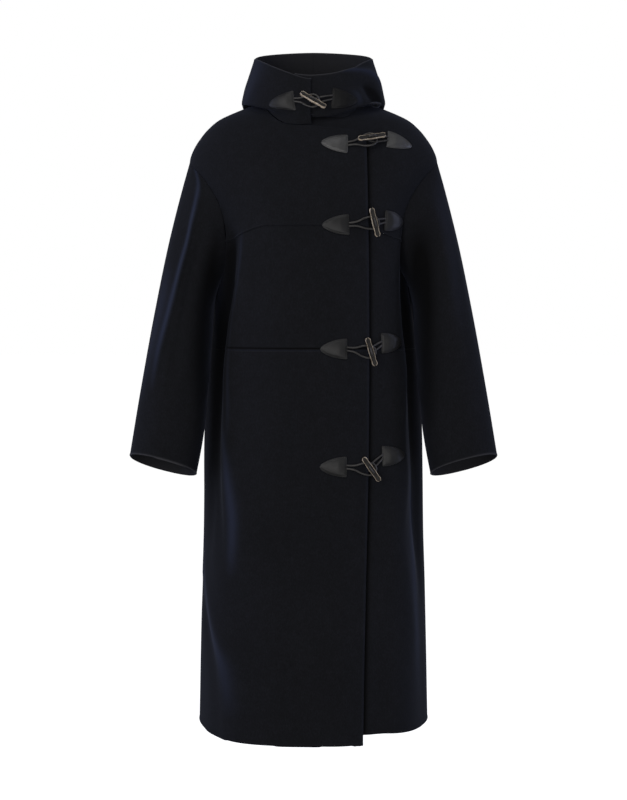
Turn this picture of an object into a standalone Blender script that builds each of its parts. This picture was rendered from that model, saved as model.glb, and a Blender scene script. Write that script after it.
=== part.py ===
"""A long duffle coat, filled out as if it were worn.

Metres, +Z up. The front of the coat faces -Y and the wearer's left is on +X. The origin is at the base
of the neck, between the shoulders. Every cloth panel is a thin wall on one of three surfaces: the body
(level rings from hem to neck), a sleeve (rings that fan out from the armhole to the cuff) and the hood
(rings from the neck seam, down to the roll of the hood and up to its rim).
"""
import math

import bmesh
import bpy
import numpy as np

CLOTH = 0.0025  # thickness of the double-faced wool
SEAM = 0.0003  # gap left between two panels where they are seamed
UNDER = 0.0040  # how much deeper the left front and left hood lie where the right ones lap over them
QUARTER = math.pi / 2
TINY = 1e-4  # step for slopes of a surface, in radians, metres or shares
DENSE = 60  # points along an edge before it is read again at even spacing
FINE = 400  # steps when a crossing is looked for
NEWTON_STEPS = 12

# Level rings of the body. widest is where along Y a ring has its full half width, and square says how
# boxy its front and back halves are, 2 being an ellipse.
# z, half_width, front, back, widest, square_front, square_back
BODY_RINGS = (
    (-1.1900, 0.2245, -0.190, 0.168, 0.030, 2.50, 2.30),
    (-1.0700, 0.2220, -0.184, 0.163, 0.030, 2.55, 2.30),
    (-0.9500, 0.2190, -0.178, 0.158, 0.030, 2.60, 2.35),
    (-0.8360, 0.2163, -0.173, 0.153, 0.030, 2.60, 2.40),
    (-0.7200, 0.2150, -0.169, 0.148, 0.030, 2.60, 2.40),
    (-0.6400, 0.2138, -0.166, 0.146, 0.045, 2.60, 2.40),
    (-0.5000, 0.2085, -0.161, 0.144, 0.065, 2.60, 2.40),
    (-0.4000, 0.1942, -0.158, 0.138, 0.050, 2.60, 2.40),
    (-0.3350, 0.1815, -0.156, 0.131, 0.020, 2.60, 2.40),
    (-0.2500, 0.1805, -0.151, 0.127, 0.012, 2.55, 2.40),
    (-0.1900, 0.1990, -0.145, 0.123, 0.007, 2.45, 2.35),
    (-0.1470, 0.2220, -0.137, 0.119, 0.003, 2.30, 2.25),
    (-0.1080, 0.2366, -0.126, 0.113, 0.000, 2.20, 2.20),
    (-0.0834, 0.2288, -0.117, 0.108, 0.000, 2.15, 2.15),
    (-0.0644, 0.2172, -0.108, 0.104, 0.001, 2.10, 2.10),
    (-0.0454, 0.2018, -0.097, 0.098, 0.003, 2.10, 2.05),
    (-0.0265, 0.1788, -0.083, 0.090, 0.004, 2.05, 2.00),
    (-0.0113, 0.1462, -0.065, 0.078, 0.005, 2.00, 2.00),
    (0.0060, 0.1000, -0.040, 0.056, 0.005, 2.00, 2.00),
    (0.0135, 0.0780, -0.020, 0.036, 0.005, 2.00, 2.00),
)
HEM = BODY_RINGS[0][0]
SHOULDER = -0.1080  # height of the shoulder point, where the sleeve is set in
TOP = BODY_RINGS[-1][0]

# Long soft folds of the body, the same on both sides. turn is the angle about the ring from the centre
# front, in degrees, and a negative height is a hollow.
# turn, spread, z_top, z_bottom, height
BODY_FOLDS = (
    (43.0, 9.0, -0.200, -1.30, 0.0040),
    (65.0, 12.0, -0.300, -1.30, -0.0060),
    (64.0, 16.0, -0.280, -0.92, -0.0120),
    (122.0, 12.0, -0.500, -1.30, -0.0050),
    (148.0, 14.0, -0.450, -1.30, 0.0060),
)
FOLD_FADE = 0.18

# The armhole: an upright oval on the side of the body.
ARMHOLE_MID_Z = -0.2215
ARMHOLE_HALF_Z = 0.1135
ARMHOLE_FRONT = 0.090
ARMHOLE_BACK = 0.086
ARMHOLE_EASE = 0.0006  # the panels stop this far outside the sleeve's own edge
# Where points lie round the armhole: shares of its arc from the top to the yoke seam, from there to the
# underarm, and from the underarm up the back to the top.
ARMHOLE_UPPER_SHARES = (0.0, 0.33, 0.51, 0.68, 0.84, 1.0)
ARMHOLE_LOWER_SHARES = (0.0, 0.20, 0.38, 0.60, 1.0)
ARMHOLE_BACK_SHARES = (0.0, 0.19, 0.31, 0.43, 0.55, 0.67, 0.80, 1.0)
UNDERARM = ARMHOLE_MID_Z - ARMHOLE_HALF_Z - ARMHOLE_EASE

# The left front and left hood come up from UNDER to the full surface over these spans.
FRONT_RISE_X = (0.108, 0.158)
FRONT_RISE_TURN = (50.0, 85.0)
HOOD_RISE_TURN = (45.0, 80.0)

# The front edges: x at height z for the right front, which laps over, and one x for the hidden left one.
FRONT_EDGE = ((-1.190, 0.0928), (-0.920, 0.0964), (-0.660, 0.1017), (-0.259, 0.1013), (-0.057, 0.0974))
HIDDEN_EDGE_X = -0.085
LAP_CORNER = (0.0974, -0.057)  # x, z of the lap's upper corner
LAP_START = (-0.005, -0.0465)  # x, z where the lap's free top edge leaves the hood seam
UNDER_LAP_TOP_Z = -0.0430
NECK_START_RIGHT = 6.0  # degrees from the centre front at which each front's neck seam starts
NECK_START_LEFT = 2.0
# The left front is cut a little shorter where the right one covers it, up to this turn in degrees.
LEFT_HEM_RISE = 0.0165
LEFT_HEM_RUN = ((34.0, 1.0), (62.0, 0.36))  # turn in degrees, share of the rise that is left there

WAIST_SEAM_Z = -0.4590
SKIRT_ROWS = 9  # rows of points up the side seam, the same on the fronts and the back
MIDDLE_ROWS = 4
SHOULDER_ROWS = 5
FRONT_COLUMNS = 16
BACK_COLUMNS = 19
YOKE_SEAM_Z = -0.2345
YOKE_DROP = 0.0280
YOKE_DROP_FROM_X = 0.085
YOKE_DROP_OVER_X = 0.090

# The neck seam in plan.
NECK_HALF_WIDTH = 0.0900
NECK_SQUARE = 3.5
NECK_MID_Y = 0.005
NECK_FRONT_RIGHT = -0.0970
NECK_FRONT_LEFT = -0.0900
NECK_BACK = 0.0560
NECK_LOWEST_Z = -0.0834

# Sleeve sections from the armhole (0) to the cuff (1): the outer and the inner point of each ring, the
# middle and half depth along Y, how much higher the ring's front is than its middle, and its squareness.
# along, outer_x, outer_z, inner_x, inner_z, mid_y, half_depth, front_rise, square
SLEEVE_RINGS = (
    (0.00, 0.2366, -0.1080, 0.1815, -0.3350, 0.008, 0.0860, 0.0000, 2.0),
    (0.10, 0.2515, -0.1640, 0.1900, -0.3750, -0.005, 0.0870, 0.0020, 2.1),
    (0.25, 0.2712, -0.2480, 0.1928, -0.4280, -0.026, 0.0825, 0.0040, 2.2),
    (0.50, 0.2985, -0.3860, 0.1995, -0.5170, -0.052, 0.0730, 0.0070, 2.2),
    (0.75, 0.3240, -0.5300, 0.2060, -0.6100, -0.070, 0.0640, 0.0110, 2.2),
    (1.00, 0.3458, -0.6650, 0.2210, -0.6965, -0.084, 0.0580, 0.0180, 2.2),
)
SLEEVE_BLEND = 0.30  # how far down the sleeve the armhole's own shape dies out
SLEEVE_STATIONS = (0.0, 0.04, 0.12, 0.245, 0.37, 0.495, 0.62, 0.745, 0.87, 1.0)
ARMHOLE_OUT = (0.972, 0.0, -0.236)  # the way out of the armhole, across its seam

# Hood rings from the neck seam (0), out over the shoulders to the roll, and up to the rim (1). The ring's
# height is given at its front, at its sides and at its back.
# along, half_width, front, back, z_front, z_side, z_back
HOOD_RINGS = (
    (0.00, 0.0900, -0.0970, 0.056, -0.0455, 0.0095, 0.004),
    (0.12, 0.1040, -0.0985, 0.103, -0.0400, 0.0120, -0.012),
    (0.27, 0.1250, -0.0995, 0.131, -0.0320, 0.0070, -0.085),
    (0.42, 0.1376, -0.1000, 0.162, -0.0200, 0.0040, -0.142),
    (0.55, 0.1340, -0.0995, 0.189, -0.0040, 0.0260, -0.085),
    (0.78, 0.1215, -0.0970, 0.168, 0.0200, 0.0650, 0.030),
    (1.00, 0.1135, -0.0920, 0.140, 0.0440, 0.0890, 0.1225),
)
HOOD_MID_Y = 0.020
HOOD_SQUARE = 2.3
HOOD_HEIGHT_POWER = 2.0
HOOD_RIM_POWERS = (2.4, 0.9)  # the same at the rim, before and behind the widest place
HOOD_RIM_FROM = (0.60, 1.00)
HOOD_LIFT = 0.0010  # how far the hood's lower edge stands off the neck of the panels
HOOD_BLEND = 0.30
HOOD_RIGHT_EDGE_X = -0.005
HOOD_LEFT_EDGE_X = -0.040
HOOD_EDGE_AT = 0.7  # where along the hood those edges are measured
HOOD_COLUMNS = 13
HOOD_BACK_REACH = 0.15  # distance of the back seam from the middle of the hood
HOOD_STATIONS = (0.008, 0.06, 0.13, 0.22, 0.31, 0.38, 0.44, 0.51, 0.60, 0.72, 0.86, 1.0)

# The closures, seen from the front. Each leather shield has its straight base towards the toggle, and a
# heading that its tip points to, in degrees from +X towards +Z. lean is the toggle's turn from level.
# name, loop_x, loop_z, loop_heading, toggle_x, toggle_z, lean, button_x, button_z, button_heading
CLOSURES = (
    ("closure1", -0.0350, -0.0010, 188.0, -0.0006, -0.0035, -30.0, 0.0345, 0.0046, -5.0),
    ("closure2", 0.0636, -0.0838, 178.0, 0.1045, -0.0765, 14.0, 0.1372, -0.0712, -5.0),
    ("closure3", 0.0652, -0.2326, 181.5, 0.1062, -0.2288, -74.5, 0.1319, -0.2236, -3.0),
    ("closure4", 0.0618, -0.4594, 180.5, 0.1007, -0.4652, -72.0, 0.1258, -0.4495, 2.0),
    ("closure5", 0.0609, -0.6755, 180.0, 0.1020, -0.6800, -53.0, 0.1272, -0.6579, 2.0),
)
PATCH_LENGTH = 0.0500
PATCH_HALF_BASE = 0.0190
PATCH_TIP = 0.0016
PATCH_EDGE = 0.0018
PATCH_CROWN = 0.0014
PATCH_SEAT = 0.0007
# along the shield from its base, share of the full crown
PATCH_ROWS = ((0.0, 0.0), (0.2, 0.9), (0.4, 1.0), (0.6, 1.0), (0.8, 0.8), (0.93, 0.4), (1.0, 0.0))
PATCH_ACROSS = (0.0, 0.8, 1.0, 0.8, 0.0)  # share of the crown from side to side
PATCH_ARCH = 0.75  # how full the shield's sides are
CORD_RADIUS = 0.0018
CORD_HIGH = 0.0064  # height of the loop's eye over the cloth, above the toggle's own cord
CORD_LOW = 0.0023
CORD_START = 0.0013  # how far in front of its shield's base a cord begins
EYE_RADIUS = 0.0112
LOOP_SPREAD = 0.0030
LOOP_FLARE = 0.0012
BUTTON_SPREAD = 0.0036
NECK_SPREAD = 0.0042
# The loop's strand: share of the way to the toggle, eye radii past it, share of the eye's width (0 is the
# spread at the shield), share of the way from low to high.
LOOP_STRAND = (
    (0.35, 0.00, 0.00, 0.20),
    (0.70, 0.00, 0.85, 0.50),
    (1.00, 0.00, 1.00, 1.00),
    (1.00, 0.71, 0.71, 1.00),
)
TOGGLE_CORD_RISES = (-0.0088, -0.0060, -0.0025, 0.0010, 0.0036)  # heights of the cord up through a hole
TOGGLE_CORD_OVER = 0.0009
LOOP_POINTS = 26
TOGGLE_CORD_POINTS = 34
TOGGLE_LENGTH = 0.0530
TOGGLE_HEIGHT = 0.0146  # toggle's axis over the cloth
TOGGLE_RECESS = 0.0030  # height of the recess's floor over the axis
TOGGLE_RECESS_HALF = 0.0105
TOGGLE_RECESS_SLOPE = 0.0026
TOGGLE_STATIONS = (-1, -0.95, -0.78, -0.60, -0.49, -0.39, 0, 0.39, 0.49, 0.60, 0.78, 0.95, 1)
TOGGLE_SIDES = 12
DRILL_SIDES = 8
DRILL_TURN = 0.2
DRILL_REACH = 0.02
TOGGLE_HOLE = 0.0023
TOGGLE_HOLE_AT = 0.0070
# along the toggle from its middle, radius
TOGGLE_PROFILE = (
    (-1.00, 0.0032),
    (-0.95, 0.0042),
    (-0.60, 0.0050),
    (0.00, 0.0057),
    (0.60, 0.0050),
    (0.95, 0.0042),
    (1.00, 0.0032),
)

WOOL = ("wool", (0.010, 0.012, 0.022), 0.95)
LEATHER = ("leather", (0.035, 0.036, 0.040), 0.45)
HORN = ("horn", (0.23, 0.19, 0.15), 0.35)


def smooth(table, at):
    """Every column after the first as a smooth curve of the first column, through each row of the table."""
    rows = np.asarray(table, float)
    station, value = rows[:, 0], rows[:, 1:]
    step = np.diff(station)[:, None]
    grade = np.diff(value, axis=0) / step
    slope = np.empty_like(value)
    slope[1:-1] = (grade[:-1] * step[1:] + grade[1:] * step[:-1]) / (step[:-1] + step[1:])
    slope[0] = 1.5 * grade[0] - 0.5 * slope[1]
    slope[-1] = 1.5 * grade[-1] - 0.5 * slope[-2]
    at = np.clip(np.asarray(at, float), station[0], station[-1])
    row = np.clip(np.searchsorted(station, at, side="right") - 1, 0, len(station) - 2)
    width = step[row]
    t = (at - station[row])[..., None] / width
    start, end = value[row], value[row + 1]
    bend = slope[row] * (t - 2 * t**2 + t**3) + slope[row + 1] * (t**3 - t**2)
    return start + (end - start) * (3 * t**2 - 2 * t**3) + bend * width


def ease(t):
    """0 before 0, 1 after 1, and a smooth step between."""
    t = np.clip(t, 0.0, 1.0)
    return t * t * (3 - 2 * t)


def rise(value, span):
    """0 before the span, 1 after it."""
    return ease((value - span[0]) / (span[1] - span[0]))


def facing(surface, a, b):
    """The unit normal of surface(a, b): the direction of a crossed with the direction of b."""
    along_a = surface(a + TINY, b) - surface(a - TINY, b)
    along_b = surface(a, b + TINY) - surface(a, b - TINY)
    normal = np.cross(along_a, along_b)
    return normal / np.linalg.norm(normal, axis=-1, keepdims=True)


def squircle(turn, square):
    """Radius of the unit superellipse at an angle."""
    return (np.abs(np.sin(turn)) ** square + np.abs(np.cos(turn)) ** square) ** (-1 / square)


def body_ring(z):
    return np.moveaxis(smooth(BODY_RINGS, z), -1, 0)


def body_point(turn, z):
    """A point of the body: turn goes from 0 at the centre front to 90 degrees at the wearer's left side."""
    turn, z = np.broadcast_arrays(np.asarray(turn, float), np.asarray(z, float))
    half_width, front, back, widest, square_front, square_back = body_ring(z)
    ahead = np.cos(turn) > 0
    radius = squircle(turn, np.where(ahead, square_front, square_back))
    reach = np.where(ahead, widest - front, back - widest)
    fold = np.zeros_like(z)
    degrees = np.abs(np.degrees(np.arctan2(np.sin(turn), np.cos(turn))))
    for at, spread, z_top, z_bottom, height in BODY_FOLDS:
        shape = np.exp(-(((degrees - at) / spread) ** 2))
        fold += height * shape * ease((z_top - z) / FOLD_FADE) * ease((z - z_bottom) / FOLD_FADE)
    x = (half_width * radius + fold) * np.sin(turn)
    y = widest - (reach * radius + fold) * np.cos(turn)
    return np.stack([x, y, z], -1)


def turn_at_x(x, z):
    """The turn at which the front of the ring at height z has this x."""
    half_width, square = body_ring(z)[0], body_ring(z)[4]
    share = np.abs(x) / half_width
    return np.sign(x) * np.arctan2(share, (1 - share**square) ** (1 / square))


def seat_turn(depth, z, ahead):
    """The turn, 0 to 180 degrees, at which the ring at height z is this deep before or behind its widest."""
    _, front, back, widest, square_front, square_back = body_ring(z)
    square = np.where(ahead, square_front, square_back)
    share = depth / np.where(ahead, widest - front, back - widest)
    turn = np.arctan2((1 - share**square) ** (1 / square), share)
    return np.where(ahead, turn, math.pi - turn)


def armhole(angle, grow=0.0):
    """The armhole as (turn, z) on the left side: angle 0 is its top, 90 degrees its front edge."""
    z = ARMHOLE_MID_Z + (ARMHOLE_HALF_Z + grow) * np.cos(angle)
    ahead = np.sin(angle) > 0
    depth = (np.where(ahead, ARMHOLE_FRONT, ARMHOLE_BACK) + grow) * np.abs(np.sin(angle))
    return np.stack([seat_turn(depth, z, ahead), z], -1)


def neck_plan(angle, front):
    """The neck seam as (turn, z) on the body: a superellipse in plan, where it meets the body."""
    radius = squircle(angle, NECK_SQUARE)
    x = NECK_HALF_WIDTH * radius * np.sin(angle)
    reach = np.where(np.cos(angle) > 0, NECK_MID_Y - front, NECK_BACK - NECK_MID_Y)
    y = NECK_MID_Y - reach * radius * np.cos(angle)
    heights = np.linspace(NECK_LOWEST_Z, TOP, FINE)
    half_width, ring_front, ring_back, widest, square_front, square_back = body_ring(heights)
    before = y[..., None] < widest
    square = np.where(before, square_front, square_back)
    ring_reach = np.where(before, widest - ring_front, ring_back - widest)
    away = np.abs(y[..., None] - widest) / ring_reach
    outside = (np.abs(x)[..., None] / half_width) ** square + away**square - 1
    first = np.argmax(outside > 0, axis=-1)
    low = np.take_along_axis(outside, first[..., None] - 1, -1)[..., 0]
    high = np.take_along_axis(outside, first[..., None], -1)[..., 0]
    z = heights[first - 1] + (heights[first] - heights[first - 1]) * low / (low - high)
    half_width, ring_front, ring_back, widest, _, _ = body_ring(z)
    ring_reach = np.where(y < widest, widest - ring_front, ring_back - widest)
    return np.stack([np.arctan2(x / half_width, (widest - y) / ring_reach), z], -1)


def sleeve_point(along, angle):
    """A point of the left sleeve: angle 0 is the outer side, 90 degrees the front, 180 the inner side."""
    along, angle = np.broadcast_arrays(np.asarray(along, float), np.asarray(angle, float))
    section = np.moveaxis(smooth(SLEEVE_RINGS, along), -1, 0)
    outer_x, outer_z, inner_x, inner_z, mid_y, half_depth, front_rise, square = section
    radius = squircle(angle, square)
    up, ahead = radius * np.cos(angle), radius * np.sin(angle)
    x = (outer_x + inner_x) / 2 + (outer_x - inner_x) / 2 * up
    y = mid_y - half_depth * ahead
    z = (outer_z + inner_z) / 2 + (outer_z - inner_z) / 2 * up + front_rise * ahead
    plain = np.stack([x, y, z], -1)
    first = SLEEVE_RINGS[0]
    seat = body_point(*np.moveaxis(armhole(angle), -1, 0))
    flat = np.stack(
        [
            (first[1] + first[3]) / 2 + (first[1] - first[3]) / 2 * np.cos(angle),
            first[5] - first[6] * np.sin(angle),
            (first[2] + first[4]) / 2 + (first[2] - first[4]) / 2 * np.cos(angle),
        ],
        -1,
    )
    fade = np.clip(1 - along / SLEEVE_BLEND, 0, 1) ** 2
    return plain + (seat - flat) * fade[..., None]


def hood_point(turn, along, neck_front=NECK_FRONT_RIGHT):
    """A point of the hood: turn 0 is the centre front, along goes from the neck seam to the rim."""
    turn, along = np.broadcast_arrays(np.asarray(turn, float), np.asarray(along, float))
    along = np.clip(along, 0.0, 1.0)
    radius = squircle(turn, HOOD_SQUARE)
    ahead = np.cos(turn) > 0
    power = HOOD_HEIGHT_POWER + (np.where(ahead, *HOOD_RIM_POWERS) - HOOD_HEIGHT_POWER) * rise(along, HOOD_RIM_FROM)
    raise_by = np.abs(np.cos(turn)) ** power

    def ring(at):
        half_width, front, back, z_front, z_side, z_back = np.moveaxis(smooth(HOOD_RINGS, at), -1, 0)
        reach = np.where(ahead, HOOD_MID_Y - front, back - HOOD_MID_Y)
        x = half_width * radius * np.sin(turn)
        y = HOOD_MID_Y - reach * radius * np.cos(turn)
        z = z_side + (np.where(ahead, z_front, z_back) - z_side) * raise_by
        return np.stack([x, y, z], -1)

    seat = body_point(*np.moveaxis(neck_plan(turn, neck_front), -1, 0))
    fade = np.clip(1 - along / HOOD_BLEND, 0, 1) ** 2
    seat = seat + np.array((0.0, 0.0, HOOD_LIFT))
    return ring(along) + (seat - ring(np.zeros_like(along))) * fade[..., None]


def left_hood_point(turn, along):
    return hood_point(turn, along, NECK_FRONT_LEFT)


def hood_sunk(turn, _along):
    """How deep the left hood lies under the surface that the right hood laps on."""
    return UNDER * (1 - rise(np.degrees(turn), HOOD_RISE_TURN))


def front_sunk(turn, z):
    """How deep the left front lies under the surface that the right front laps on."""
    x = body_point(turn, z)[..., 0]
    return UNDER * (1 - rise(x, FRONT_RISE_X)) * (1 - rise(np.degrees(turn), FRONT_RISE_TURN))


def none_sunk(turn, _along):
    return np.zeros_like(turn)


def layer(surface, sunk, deeper=0.0):
    """The surface moved inwards by sunk(a, b) and a further depth."""
    return lambda a, b: surface(a, b) - facing(surface, a, b) * (sunk(a, b) + deeper)[..., None]


def even(edge, count, surface=body_point):
    """An edge given as dense (a, b) points, read again at count points evenly spaced on the surface."""
    points = surface(edge[:, 0], edge[:, 1])
    run = np.concatenate([[0], np.cumsum(np.linalg.norm(np.diff(points, axis=0), axis=1))])
    at = np.linspace(0, run[-1], count)
    return np.stack([np.interp(at, run, edge[:, 0]), np.interp(at, run, edge[:, 1])], -1)


def fill(bottom, top, left, right):
    """A grid between four edges: the sum of the two ruled grids less the one ruled from the corners."""
    v = np.linspace(0, 1, len(left))[:, None, None]
    u = np.linspace(0, 1, len(bottom))[None, :, None]
    ruled = (1 - v) * bottom[None] + v * top[None] + (1 - u) * left[:, None] + u * right[:, None]
    low = (1 - u) * bottom[0] + u * bottom[-1]
    high = (1 - u) * top[0] + u * top[-1]
    return ruled - (1 - v) * low - v * high


def paint(item, material):
    name, colour, roughness = material
    paint_pot = bpy.data.materials.new(f"{name}_{item.name}")
    paint_pot.use_nodes = True
    shader = paint_pot.node_tree.nodes["Principled BSDF"]
    shader.inputs["Base Color"].default_value = (*colour, 1.0)
    shader.inputs["Roughness"].default_value = roughness
    shader.inputs["Metallic"].default_value = 0.0
    item.data.materials.append(paint_pot)


def make(name, points, faces, material):
    """One closed solid from its points and faces, with its faces turned outwards."""
    mesh = bpy.data.meshes.new(name)
    mesh.from_pydata(points.tolist(), [], [list(face) for face in faces])
    work = bmesh.new()
    work.from_mesh(mesh)
    bmesh.ops.recalc_face_normals(work, faces=work.faces)
    work.to_mesh(mesh)
    work.free()
    mesh.shade_smooth()
    mesh.set_sharp_from_angle(angle=math.radians(45))
    item = bpy.data.objects.new(name, mesh)
    bpy.context.collection.objects.link(item)
    paint(item, material)
    return item


def wall(name, outer, inner, material, tube=False):
    """A solid wall between two grids of points, each cell split along its shorter diagonal.

    A tube's last column meets its first.
    """
    rows, columns = outer.shape[:2]
    back = rows * columns
    index = np.arange(back).reshape(rows, columns)
    if tube:
        index = np.concatenate([index, index[:, :1]], axis=1)
    cells = np.stack([index[:-1, :-1], index[:-1, 1:], index[1:, 1:], index[1:, :-1]], -1).reshape(-1, 4)
    corners = outer.reshape(-1, 3)[cells]
    falling = np.linalg.norm(corners[:, 0] - corners[:, 2], axis=1)
    rising = np.linalg.norm(corners[:, 1] - corners[:, 3], axis=1)
    split = np.where((falling <= rising)[:, None], cells[:, [0, 1, 2, 0, 2, 3]], cells[:, [0, 1, 3, 1, 2, 3]])
    split = split.reshape(-1, 3)
    faces = [*split, *(split[:, ::-1] + back)]
    rims = [index[0], index[-1]]
    if not tube:
        rims += [index[:, 0], index[:, -1]]
    for rim in rims:
        faces += [*np.stack([rim[:-1], rim[1:], rim[1:] + back, rim[:-1] + back], -1)]
    points = np.concatenate([outer.reshape(-1, 3), inner.reshape(-1, 3)])
    return make(name, points, faces, material)


def panel(name, surface, sunk, grid):
    """A cloth panel on a surface, from its grid of surface places."""
    a, b = grid[..., 0], grid[..., 1]
    wall(name, layer(surface, sunk)(a, b), layer(surface, sunk, CLOTH)(a, b), WOOL)


def line(*corners, count=40):
    """Dense points along straight runs between corners."""
    runs = [np.linspace(a, b, count, endpoint=False) for a, b in zip(corners[:-1], corners[1:])]
    return np.concatenate([*runs, [corners[-1]]])


def side_line(z_low, z_high, side, ahead=True):
    """Half a seam's gap before (or behind) the side seam or shoulder seam, between two heights."""
    z = np.linspace(z_low, z_high, DENSE)
    _, front, back, widest, _, _ = body_ring(z)
    reach = widest - front if ahead else back - widest
    step = SEAM / 2 / reach
    turn = QUARTER - step if ahead else QUARTER + step
    return np.stack([side * turn, z], -1)


def armhole_line(angles, side):
    return armhole(np.radians(angles), ARMHOLE_EASE) * (side, 1)


def yoke_z(x):
    """Height of the yoke seam: level across the chest, and dropping towards the armhole."""
    return YOKE_SEAM_Z - YOKE_DROP * ease((np.abs(x) - YOKE_DROP_FROM_X) / YOKE_DROP_OVER_X)


def front_edge(side, z):
    """(turn, z) of a front's free edge. The right front's is side -1 and laps past the centre."""
    x = smooth(FRONT_EDGE, z)[..., 0] if side < 0 else np.full_like(z, HIDDEN_EDGE_X)
    return np.stack([turn_at_x(x, z), z], -1)


def level_line(side, z_of_x, shift):
    """A seam across a front from its free edge to the side, moved up or down by a shift."""
    x = np.linspace(-side, side, FINE) * BODY_RINGS[0][1]
    z = z_of_x(x) + shift
    edge_x = smooth(FRONT_EDGE, z)[..., 0] if side < 0 else HIDDEN_EDGE_X
    kept = (np.abs(x) < body_ring(z)[0] - TINY) & (x * side >= edge_x * side)
    start = front_edge(side, z[kept][:1])
    return np.concatenate([start, np.stack([turn_at_x(x[kept], z[kept]), z[kept]], -1)])


def yoke_corner_angle():
    """The angle about the armhole, in degrees, at which the yoke seam runs into it."""
    angle = np.linspace(0, math.pi, 4 * FINE)
    edge = armhole(angle, ARMHOLE_EASE)
    x = body_point(edge[:, 0], edge[:, 1])[:, 0]
    return np.degrees(angle[np.argmin(np.abs(edge[:, 1] - yoke_z(x)))])


def armhole_angles():
    """Angles about the armhole where panels and sleeve have a point: upper front, lower front, back."""
    corner = yoke_corner_angle()
    upper = corner * np.array(ARMHOLE_UPPER_SHARES)
    lower = corner + (180 - corner) * np.array(ARMHOLE_LOWER_SHARES)
    return upper, lower, 180 + 180 * np.array(ARMHOLE_BACK_SHARES)


def clip_to(edge, side, end):
    """The seam line cut off at its outer end, where it meets the armhole or the side seam."""
    keep = edge[:, 0] * side < end[0] * side
    return np.concatenate([edge[keep], [end]])


def build_front(side, word, sunk):
    half = SEAM / 2
    upper, lower, _ = armhole_angles()

    hem_end = side_line(HEM, HEM, side)[0]
    if side < 0:
        edge_foot = HEM
        hem = line(front_edge(side, np.array([HEM]))[0], hem_end)
    else:
        edge_foot = HEM + LEFT_HEM_RISE
        falls = [(math.radians(at), HEM + LEFT_HEM_RISE * share) for at, share in LEFT_HEM_RUN]
        hem = line(front_edge(side, np.array([edge_foot]))[0], *falls, hem_end)
    below_waist = level_line(side, lambda x: np.full_like(x, WAIST_SEAM_Z), -half)
    above_waist = level_line(side, lambda x: np.full_like(x, WAIST_SEAM_Z), half)
    side_low = side_line(HEM, WAIST_SEAM_Z - half, side)
    side_mid = side_line(WAIST_SEAM_Z + half, UNDERARM, side)
    waist_low = clip_to(below_waist, side, side_low[-1])
    waist_high = clip_to(above_waist, side, side_mid[0])
    edge_z = np.linspace(edge_foot, WAIST_SEAM_Z - half, DENSE)
    panel(
        f"front_{word}_skirt",
        body_point,
        sunk,
        fill(
            even(hem, FRONT_COLUMNS),
            even(waist_low, FRONT_COLUMNS),
            even(front_edge(side, edge_z), SKIRT_ROWS),
            even(side_low, SKIRT_ROWS),
        ),
    )

    armhole_low = armhole_line(lower[::-1], side)
    armhole_high = armhole_line(upper[::-1], side)
    drop = np.array([0, half])
    yoke_under = clip_to(level_line(side, yoke_z, -half), side, armhole_low[-1] - drop)
    yoke_over = clip_to(level_line(side, yoke_z, half), side, armhole_high[0] + drop)
    armhole_low[-1] -= drop
    armhole_high[0] += drop
    edge_z = np.linspace(WAIST_SEAM_Z + half, yoke_under[0, 1], DENSE)
    outer = np.concatenate([even(side_mid, MIDDLE_ROWS)[:-1], armhole_low])
    panel(
        f"front_{word}_middle",
        body_point,
        sunk,
        fill(
            even(waist_high, FRONT_COLUMNS),
            even(yoke_under, FRONT_COLUMNS),
            even(front_edge(side, edge_z), len(outer)),
            outer,
        ),
    )

    if side < 0:
        neck = neck_plan(-np.radians(np.linspace(NECK_START_RIGHT, 90, DENSE)), NECK_FRONT_RIGHT)
        x, z = np.linspace(LAP_CORNER, LAP_START, DENSE).T
    else:
        neck = neck_plan(np.radians(np.linspace(NECK_START_LEFT, 90, DENSE)), NECK_FRONT_LEFT)
        x, z = np.linspace((HIDDEN_EDGE_X, UNDER_LAP_TOP_Z), (0.0, neck[0, 1]), DENSE).T
    free_top = np.stack([turn_at_x(x, z), z], -1)[:-1]
    neck[:, 1] -= SEAM
    top = np.concatenate([free_top, neck])
    shoulder = side_line(SHOULDER + ARMHOLE_EASE, neck[-1, 1], side)
    top[-1] = shoulder[-1]
    outer = np.concatenate([armhole_high[:-1], even(shoulder, SHOULDER_ROWS)])
    edge_z = np.linspace(yoke_over[0, 1], free_top[0, 1], DENSE)
    panel(
        f"front_{word}_yoke",
        body_point,
        sunk,
        fill(
            even(yoke_over, FRONT_COLUMNS),
            even(top, FRONT_COLUMNS),
            even(front_edge(side, edge_z), len(outer)),
            outer,
        ),
    )


def build_back():
    neck = neck_plan(np.radians(np.linspace(90, 270, 2 * DENSE)), NECK_FRONT_RIGHT)
    neck[:, 0] = np.where(neck[:, 0] < 0, neck[:, 0] + 2 * math.pi, neck[:, 0])
    neck[:, 1] -= SEAM
    side = np.concatenate(
        [
            even(side_line(HEM, WAIST_SEAM_Z, 1, False), SKIRT_ROWS)[:-1],
            even(side_line(WAIST_SEAM_Z, UNDERARM, 1, False), MIDDLE_ROWS)[:-1],
            armhole_line(armhole_angles()[2], 1)[:-1],
            even(side_line(SHOULDER + ARMHOLE_EASE, neck[0, 1], 1, False), SHOULDER_ROWS),
        ]
    )
    other = side * (-1, 1) + (2 * math.pi, 0)
    neck[0], neck[-1] = side[-1], other[-1]
    hem = line(side[0], other[0])
    panel("back", body_point, none_sunk, fill(even(hem, BACK_COLUMNS), even(neck, BACK_COLUMNS), side, other))


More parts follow.
